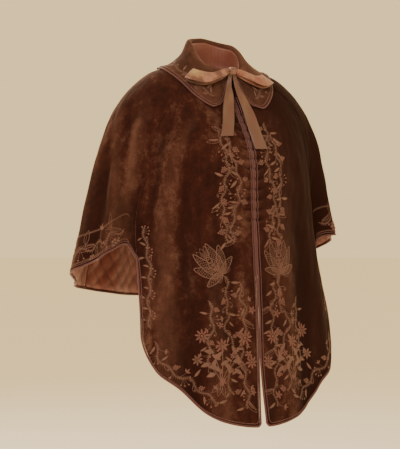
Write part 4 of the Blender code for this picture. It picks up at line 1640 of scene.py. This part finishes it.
    def flower(self, spot: Spot, radius: float, petals: int, tone: float) -> None:
        """A round flower: petals, a small berry between each two and a seeded eye."""
        for k in range(petals):
            turn = spot.heading + 360 * k / petals
            start = Spot(*self.moved(Spot(spot.angle, spot.level, turn), 0.0, radius * 0.30), turn)
            self.petal(start, radius * 0.70, radius * 0.46 * 6 / petals, tone)
            beside = Spot(*self.moved(Spot(spot.angle, spot.level, turn + 180 / petals), 0.0, radius * 0.34), turn)
            self.berry(beside, 0.0012, Tone.TAN.value)
        self.berry(spot, radius * 0.20, Tone.WARM.value)
        for k in range(6):
            turn = 60 * k
            self.berry(Spot(*self.moved(Spot(spot.angle, spot.level, turn), 0.0, radius * 0.30)), 0.0009, Tone.TAN.value)

    def netted_petal(self, spot: Spot, length: float, width: float, bend: float, tone: float) -> None:
        """A large curved petal: a corded, scalloped outline filled with a crossing net."""
        def half(v: float) -> float:
            """Half the petal's width at a share of its length."""
            return width / 2 * math.sin(math.pi * v ** 0.85) ** 0.75 if 0 < v < 1 else 0.0

        def middle(v: float) -> float:
            """How far the petal's middle line has bent aside."""
            return bend * length * v * v

        for mirror in (-1, 1):
            line = []
            for k in range(21):
                v = k / 20
                scallop = 0.0011 * abs(math.sin(math.pi * v * 6)) if mirror == math.copysign(1, bend) else 0.0
                line.append(self.moved(spot, middle(v) + mirror * (half(v) + scallop), length * v))
            self.stem(line, 0.0021, tone)
        pitch = 0.0062
        for slant in (-1, 1):
            for k in range(-10, 26):
                line = []
                for step in range(33):
                    v = step / 32
                    x = slant * (v * length - k * pitch)
                    if abs(x) < half(v) - 0.0006:
                        line.append(self.moved(spot, middle(v) + x, length * v))
                if len(line) > 2:
                    self.stem(line[:: max(len(line) // 6, 1)], 0.0010, Tone.TAN.value)

    def tulip(self, spot: Spot, size: float) -> None:
        """A large cupped flower: a seeded heart between netted petals that turn outwards, on a leafy foot."""
        plan = ((-27, 1.02, 0.27, 0.22), (27, 1.02, 0.27, -0.22), (-44, 0.90, 0.27, 0.14), (44, 0.90, 0.27, -0.14),
                (-66, 0.60, 0.22, -0.16), (66, 0.60, 0.22, 0.16))
        for turn, length, width, bend in plan:
            start = Spot(spot.angle, spot.level, spot.heading + turn)
            self.netted_petal(start, size * length, size * width, bend, Tone.TAN.value)
        heart = Spot(*self.moved(spot, 0.0, size * 0.12), spot.heading)
        for mirror in (-1, 1):
            line = [
                self.moved(heart, mirror * size * 0.13 * math.sin(math.pi * k / 10), size * 0.058 * k)
                for k in range(11)]
            self.stem(line, 0.0020, Tone.TAN.value)
        for k in range(5):
            for across in (-0.055, 0.0, 0.055):
                if abs(across) < 0.01 or 0 < k < 4:
                    place = self.moved(heart, size * across, size * (0.09 + 0.10 * k))
                    self.berry(Spot(*place), 0.0017, Tone.WARM.value)
        for turn in (-15, 0, 15):
            tip = Spot(*self.moved(heart, size * 0.004 * turn, size * 0.56), spot.heading + turn)
            self.leaf(tip, size * 0.34, size * 0.13, Tone.TAN.value)
        for turn in (-78, 78):
            start = Spot(spot.angle, spot.level, spot.heading + turn)
            self.leaf(start, size * 0.40, size * 0.13, Tone.WARM.value, -0.35 * math.copysign(1, turn))
        for turn in (-125, 125):
            start = Spot(spot.angle, spot.level, spot.heading + turn)
            self.tendril(start, size * 0.42, -turn * 3.0, Tone.TAN.value)

    def feather(self, line: Sequence[tuple[float, float]], reach: float, tone: float) -> None:
        """Feather stitches to both sides of a line."""
        self.stem(line, 0.0012, tone)
        for k in range(1, len(line) - 1):
            here = self._heading(line, k)
            for turn in (-38, 38):
                start = Spot(here.angle, here.level, here.heading + turn)
                self.stem([(start.angle, start.level), self.moved(start, 0.0, reach)], 0.0009, tone, 0.6)

    def barbed(self, line: Sequence[tuple[float, float]], reach: float, tone: float = Tone.TAN.value) -> None:
        """A thick stem with a short slanting stitch to each side at every point of its line."""
        self.stem(line, 0.0017, tone)
        for k in range(1, len(line) - 1):
            here = self._heading(line, k)
            for turn in (-52, 52):
                start = Spot(here.angle, here.level, here.heading + turn)
                self.stem([(start.angle, start.level), self.moved(start, 0.0, reach)], 0.0015, tone, 0.8)

    def cluster(self, spot: Spot, size: float) -> None:
        """A hanging cluster of round berries, narrowing to its tip."""
        for row, count in enumerate((2, 3, 2, 1)):
            for k in range(count):
                across = (k - (count - 1) / 2) * size * 0.27
                place = self.moved(spot, across, size * (0.16 + 0.24 * row))
                self.berry(Spot(*place), size * 0.135, Tone.ROSE.value if (row + k) % 3 == 0 else Tone.TAN.value)

    def horn(self, spot: Spot, length: float, bend: float) -> None:
        """A long curved leaf in two tones, split along its middle."""
        self.leaf(spot, length, length * 0.26, Tone.WARM.value, bend)
        beside = Spot(*self.moved(spot, length * 0.09 * math.copysign(1, bend), length * 0.08), spot.heading)
        self.leaf(beside, length * 0.74, length * 0.15, Tone.TAN.value, bend * 1.6)

    def _heading(self, line: Sequence[tuple[float, float]], k: int) -> Spot:
        """The spot on a line with the line's heading."""
        (a0, l0), (a1, l1) = line[max(k - 1, 0)], line[min(k + 1, len(line) - 1)]
        sizes = self.frame(*line[k])
        flip = -1.0 if self.ground is Ground.COLLAR and self.side is Side.LEFT else 1.0
        x = (a1 - a0) * sizes[0] * flip + (l1 - l0) * sizes[1]
        y = (l1 - l0) * sizes[2]
        return Spot(line[k][0], line[k][1], math.degrees(math.atan2(x, -y)))

    def garland(
        self, knots: Sequence[tuple[float, float]], gap: float, size: float, sway: float = 0.006,
        plan: str = "lbtlpslf",
    ) -> None:
        """A winding vine with leaves, berries, pods, sprays and small flowers to both sides in turn.

        Args:
            knots: Angles and levels that the vine passes.
            gap: Metres between its side shoots.
            size: Length of a side shoot.
            sway: How far the vine swings to each side.
            plan: One letter for each shoot in turn.
        """
        table = np.array(knots, dtype=float)
        smooth = between(table, np.linspace(0, len(table) - 1, 40 * (len(table) - 1)))
        line = [tuple(row) for row in smooth]
        spots = [self._heading(line, k) for k in range(len(line))]
        run = [0.0]
        for k in range(1, len(line)):
            sizes = self.frame(*line[k])
            x = (line[k][0] - line[k - 1][0]) * sizes[0] + (line[k][1] - line[k - 1][1]) * sizes[1]
            run.append(run[-1] + math.hypot(x, (line[k][1] - line[k - 1][1]) * sizes[2]))
        total = run[-1]
        stops = np.arange(0.0, total, self.stitch)
        index = np.searchsorted(run, stops).clip(0, len(line) - 1)
        swing = [sway * math.sin(2 * math.pi * stop / (4.2 * gap)) for stop in stops]
        path = [self.moved(spots[i], s, 0.0) for i, s in zip(index, swing)]
        self.barbed(path, 0.0046)
        for number, stop in enumerate(np.arange(gap * 0.5, total - gap * 0.3, gap)):
            k = min(int(stop / self.stitch), len(path) - 1)
            here = self._heading(path, k)
            hand = 1 if number % 2 else -1
            lean = hand * (46 + self.dice.uniform(-10, 10))
            reach = size * self.dice.uniform(0.85, 1.12)
            self.shoot(plan[number % len(plan)], Spot(here.angle, here.level, here.heading + lean), reach, hand)

    def shoot(self, kind: str, spot: Spot, reach: float, hand: int) -> None:
        """One side shoot of a garland.

        Args:
            kind: l leaf, b berries, c cluster, h horn leaf, t tendril, p pod, s spray of leaves, f flower.
            spot: Where it leaves the vine, with its heading.
            reach: Its length.
            hand: 1 or -1, the side that it leans to.
        """
        if kind == "l":
            end = self.curve(spot, reach * 0.35, hand * 20, 0.0011, Tone.TAN.value, 4)
            self.leaf(end, reach * 0.90, reach * 0.27, Tone.TAN.value, hand * 0.16)
        elif kind == "b":
            self.sprig(spot, reach * 0.85, 5, Tone.TAN.value)
        elif kind == "c":
            end = self.curve(spot, reach * 0.25, hand * 20, 0.0014, Tone.TAN.value, 3)
            self.cluster(end, reach * 0.72)
        elif kind == "h":
            self.horn(spot, reach * 1.45, hand * 0.16)
        elif kind == "t":
            self.tendril(spot, reach * 1.15, -hand * 420, Tone.TAN.value)
        elif kind == "p":
            end = self.curve(spot, reach * 0.3, -hand * 25, 0.0011, Tone.TAN.value, 4)
            self.pod(end, reach * 0.95, Tone.WARM.value)
        elif kind == "s":
            end = self.curve(spot, reach * 0.9, hand * 35, 0.0011, Tone.TAN.value, 6)
            for turn, length in ((0, 0.46), (-52, 0.40), (52, 0.40)):
                self.leaf(Spot(end.angle, end.level, end.heading + turn), reach * length, reach * 0.17, Tone.WARM.value)
        else:
            end = self.curve(spot, reach * 0.6, hand * 15, 0.0011, Tone.TAN.value, 4)
            self.flower(end, reach * 0.40, 5, Tone.ROSE.value)

    def bunch(self, spot: Spot, size: float) -> None:
        """A bunch of flowers and leaves on curved stems that spring from one foot."""
        plan = ((-58, 0.78, 0.13, 6), (-24, 1.00, 0.155, 7), (14, 0.72, 0.14, 6), (44, 0.98, 0.145, 7), (74, 0.66, 0.11, 5))
        for turn, reach, radius, petals in plan:
            start = Spot(spot.angle, spot.level, spot.heading + turn * 0.45)
            end = self.curve(start, size * reach, turn * 0.9, 0.0022, Tone.TAN.value, 9)
            self.flower(end, size * radius, petals + 2, Tone.ROSE.value if petals > 5 else Tone.WARM.value)
            for share, hand in ((0.35, 1), (0.55, -1), (0.72, 1)):
                middle = self.moved(start, size * 0.10 * share * math.copysign(1, turn), size * reach * share * 0.9)
                self.leaf(
                    Spot(*middle, start.heading + turn * 0.4 + hand * 58), size * 0.20, size * 0.085,
                    Tone.TAN.value, hand * 0.1)
        for turn in (-150, 150, 180):
            start = Spot(spot.angle, spot.level, spot.heading + turn)
            self.leaf(start, size * 0.26, size * 0.09, Tone.TAN.value)

    def lay(self, finish: bpy.types.Material) -> bpy.types.Object:
        """Lays everything on the cloth and dresses it.

        Args:
            finish: The thread.

        Returns:
            The piece.
        """
        flat = np.array(self.spots)
        if self.ground is Ground.COLLAR:
            u, v = np.clip(flat[:, 0], 0, 1), np.clip(flat[:, 1], 0, 1)
            places, normals = COLLAR.at(u, v, -flat[:, 2]), COLLAR.read(COLLAR.normals, u, v)
        else:
            side = np.full(len(flat), float(self.side.value))
            angle = np.clip(flat[:, 0], *self.limits)
            on_front = self.limits[0] < FRONT_SEAM
            rim = front_level(angle / FRONT_SEAM) if on_front else sleeve_level(side, angle)
            level = np.minimum(flat[:, 1], rim - EDGE_ROOM / DRAPE.per_level(side, angle, rim))
            normals = DRAPE.normal(side, angle, level)
            places = DRAPE.point(side, angle, level) + normals * flat[:, 2:3]
        mesh = bpy.data.meshes.new(self.name)
        for vert, place in zip(self.mesh.verts, places):
            vert.co = place
        self.mesh.normal_update()
        wrong = [face for face in self.mesh.faces if face.normal.dot(Vector(normals[face.verts[0].index])) < 0]
        bmesh.ops.reverse_faces(self.mesh, faces=wrong)
        self.mesh.to_mesh(mesh)
        self.mesh.free()
        give_values(mesh, {"thread": np.array(self.threads), "rose": np.array(self.tones)})
        return dressed(put_in_scene(self.name, mesh, finish), "thread")


@dataclass(frozen=True)
class Embroidery:
    """Where the embroidery lies on each part of the cape."""


    def build(self, finish: bpy.types.Material) -> list[bpy.types.Object]:
        """Makes and dresses the embroidery of the fronts, the sleeves, the back and the collar."""
        made = []
        for side in SIDES:
            made.append(self.front(side).lay(finish))
            made.append(self.sleeve(side).lay(finish))
            made.append(self.collar(side).lay(finish))
            made.append(self.back(side).lay(finish))
        return made

    def away(self, side: Side, level: float, metres: float) -> float:
        """The angle at a distance from the centre front."""
        return metres / float(DRAPE.per_degree(float(side.value), np.array([4.0]), np.array([level]))[0])

    def front(self, side: Side) -> Needlework:
        """The band beside the centre front, the lily, the bunch and the vine round the hem."""
        work = Needlework(
            "embroidery_front_" + side.word, side, limits=(1.5, 55.6), dice=random.Random(11 + side.value))
        right = side is Side.RIGHT
        for middle, swing, plan in (
            (0.046, 0.010, "bchtlctb" if right else "tclhbctb"), (0.070, 0.007, "tchlbct" if right else "ltcbhtc"),
        ):
            levels = np.linspace(1.75 if middle < 0.06 else 2.2, 5.5, 10)
            band = [
                (self.away(side, lv, middle + swing * math.sin(2.4 * lv + side.value + middle * 60)), lv)
                for lv in levels]
            work.garland(band, 0.0098, 0.0225, 0.004, plan)
        low = [(self.away(side, lv, 0.040 + 0.006 * math.sin(5.0 * lv)), lv) for lv in np.linspace(6.50, 8.62, 8)]
        work.garland(low, 0.0110, 0.0215, 0.005, "ltcslfbh" if right else "slctbhfl")
        tulip_at = self.away(side, 6.35, 0.083 if right else 0.064)
        work.tulip(Spot(tulip_at, 6.36, 60.0 if right else 8.0), 0.072)
        arm = [(tulip_at, 6.40), (tulip_at * 0.88, 6.62), (tulip_at * 0.98, 6.90), (tulip_at * 0.90, 7.20)]
        work.garland(arm, 0.0110, 0.0220, 0.004, "tltbct")
        work.bunch(Spot(self.away(side, 8.1, 0.098), 8.28, -4.0), 0.112)
        side_stem = [(self.away(side, lv, 0.118 - 0.006 * math.cos(6 * lv)), lv) for lv in np.linspace(7.0, 8.1, 6)]
        work.garland(side_stem, 0.0115, 0.0200, 0.004, "tclbst")
        cross = [(self.away(side, 7.2 + 0.22 * k, 0.070 + 0.013 * math.sin(1.9 * k)), 7.15 + 0.26 * k) for k in range(6)]
        work.garland(cross, 0.0110, 0.0200, 0.003, "slftlc")
        work.garland(self.hem_line(side, 0.032, 0.42, 1.55), 0.0125, 0.022, 0.005, "lsbltc")
        upper = [(51.0 - 1.2 * math.sin(4 * lv), lv) for lv in np.linspace(7.75, 6.0, 7)]
        work.garland(upper, 0.0115, 0.0185, 0.004, "tlbl")
        return work

    def hem_line(self, side: Side, away: float, first: float, last: float) -> list[tuple[float, float]]:
        """Angles and levels of a line inside the rounded hem."""
        word = float(side.value)
        corner = np.linspace(last, first, 9)
        share = np.sin(corner)
        rim = front_level(share)
        rise = away * np.cos(corner) / DRAPE.per_level(word, FRONT_SEAM * share, rim)
        angle = FRONT_SEAM * share - away * share / DRAPE.per_degree(word, np.full_like(rim, 50.0), rim)
        return list(zip(angle.tolist(), (rim - rise).tolist()))

    def edge_line(self, side: Side, away: float, angles: Array) -> list[tuple[float, float]]:
        """Angles and levels of a line above the lower edge of a sleeve or the back."""
        word = np.full(angles.shape, float(side.value))
        rim = sleeve_level(word, angles)
        return list(zip(angles.tolist(), (rim - away / DRAPE.per_level(word, angles, rim)).tolist()))

    def sleeve(self, side: Side) -> Needlework:
        """The band above the sleeve's edge, with a feather-stitched line over it."""
        work = Needlework(
            "embroidery_sleeve_" + side.word, side, limits=(58.5, 135.0), dice=random.Random(21 + side.value))
        work.garland(self.edge_line(side, 0.036, np.linspace(62, 131, 13)), 0.0110, 0.0350, 0.007, "hclbthsl")
        work.feather(self.edge_line(side, 0.072, np.linspace(60, 133, 110)), 0.0045, Tone.TAN.value)
        work.feather(self.edge_line(side, 0.0125, np.linspace(60, 133, 110)), 0.0036, Tone.TAN.value)
        return work

    def back(self, side: Side) -> Needlework:
        """The same band, plainer, along the back's edge to the centre back."""
        work = Needlework(
            "embroidery_back_" + side.word, side, limits=(137.0, 180.0), dice=random.Random(31 + side.value))
        work.garland(self.edge_line(side, 0.036, np.linspace(140, 177, 8)), 0.0125, 0.0255, 0.006, "lhbs")
        work.feather(self.edge_line(side, 0.072, np.linspace(138, 179.2, 60)), 0.0045, Tone.TAN.value)
        work.feather(self.edge_line(side, 0.0125, np.linspace(138, 179.2, 60)), 0.0036, Tone.TAN.value)
        return work

    def collar(self, side: Side) -> Needlework:
        """A light vine round the collar's edge."""
        work = Needlework(
            "embroidery_collar_" + side.word, side, Ground.COLLAR, dice=random.Random(41 + side.value))
        angles = (16, 28, 44, 62, 84, 110, 140, 176)
        line = [(COLLAR.column(side, angle), 0.74) for angle in angles]
        work.garland(line, 0.0105, 0.0165, 0.003, "lclstl")
        return work


# Scene


def light(name: str, place: tuple[float, float, float], power: float, size: float, color: Color) -> None:
    """A soft square lamp that looks at the middle of the cape."""
    data = bpy.data.lights.new(name, "AREA")
    data.energy, data.size, data.color = power, size, color
    lamp = bpy.data.objects.new(name, data)
    lamp.location = place
    aim = Vector((0.0, 0.0, -0.33)) - lamp.location
    lamp.rotation_euler = aim.to_track_quat("-Z", "Y").to_euler()
    bpy.context.scene.collection.objects.link(lamp)


@dataclass(frozen=True)
class Studio:
    """The pale floor, the soft light and the camera at the picture's angle."""

    paper: Color = (1.150, 0.845, 0.415)
    floor: Color = (0.975, 0.925, 0.835)
    floor_height: float = -1.30
    azimuth: float = -32.0
    elevation: float = 3.0
    distance: float = 6.0
    lens: float = 218.0
    target: tuple[float, float, float] = (-0.0156, 0.0, -0.3245)

    def build(self) -> None:
        """Makes the floor, the lights and the camera."""
        world = bpy.data.worlds.new("paper")
        world.use_nodes = True
        ground = world.node_tree.nodes["Background"]
        ground.inputs["Color"].default_value = (*self.paper, 1.0)
        ground.inputs["Strength"].default_value = 1.12
        bpy.context.scene.world = world
        shader = Shader("pale_floor")
        pale = shader.mix(shader.noise(3.0), self.floor, tuple(0.97 * part for part in self.floor))
        shader.finish(pale, shader.bump(shader.noise(40.0), 0.05, 0.001), Roughness=0.95)
        disc = bmesh.new()
        bmesh.ops.create_circle(disc, cap_ends=True, segments=96, radius=14.0)
        mesh = bpy.data.meshes.new("floor")
        for vert in disc.verts:
            vert.co.z = self.floor_height
        disc.to_mesh(mesh)
        disc.free()
        put_in_scene("floor", mesh, shader.material)
        light("key", (-2.9, -2.8, 2.3), 175.0, 1.6, (1.0, 0.94, 0.86))
        light("fill", (3.2, -2.6, 0.8), 14.0, 2.2, (1.0, 0.96, 0.92))
        light("rear", (0.6, 3.4, 2.0), 90.0, 2.2, (1.0, 0.97, 0.93))
        data = bpy.data.cameras.new("camera")
        data.lens, data.sensor_width, data.sensor_fit = self.lens, 36.0, "AUTO"
        camera = bpy.data.objects.new("camera", data)
        turn, rise = math.radians(self.azimuth), math.radians(self.elevation)
        way = Vector((math.sin(turn) * math.cos(rise), -math.cos(turn) * math.cos(rise), math.sin(rise)))
        camera.location = Vector(self.target) + way * self.distance
        camera.rotation_euler = (-way).to_track_quat("-Z", "Y").to_euler()
        bpy.context.scene.collection.objects.link(camera)
        bpy.context.scene.camera = camera


def main() -> None:
    """Builds the cape in order, then the studio."""
    logging.basicConfig(level=logging.INFO, format="%(name)s: %(message)s")
    velvet = VelvetFinish().material()
    silk = LiningFinish().material()
    # The facing inside the collar takes a darker copy of the lining silk, as painted shade
    neck = LiningFinish("shaded_neck_silk", (0.070, 0.018, 0.013), (0.120, 0.031, 0.022), (0.165, 0.056, 0.040)).material()
    wound = CordFinish().material()
    VelvetPanels().build(velvet)
    QuiltedLining().build(silk)
    CollarPieces().build(velvet, neck)
    PipedEdges().build(wound)
    RibbonBow().build(RibbonFinish())
    Embroidery().build(ThreadFinish().material())
    Studio().build()


if __name__ == "__main__":
    main()
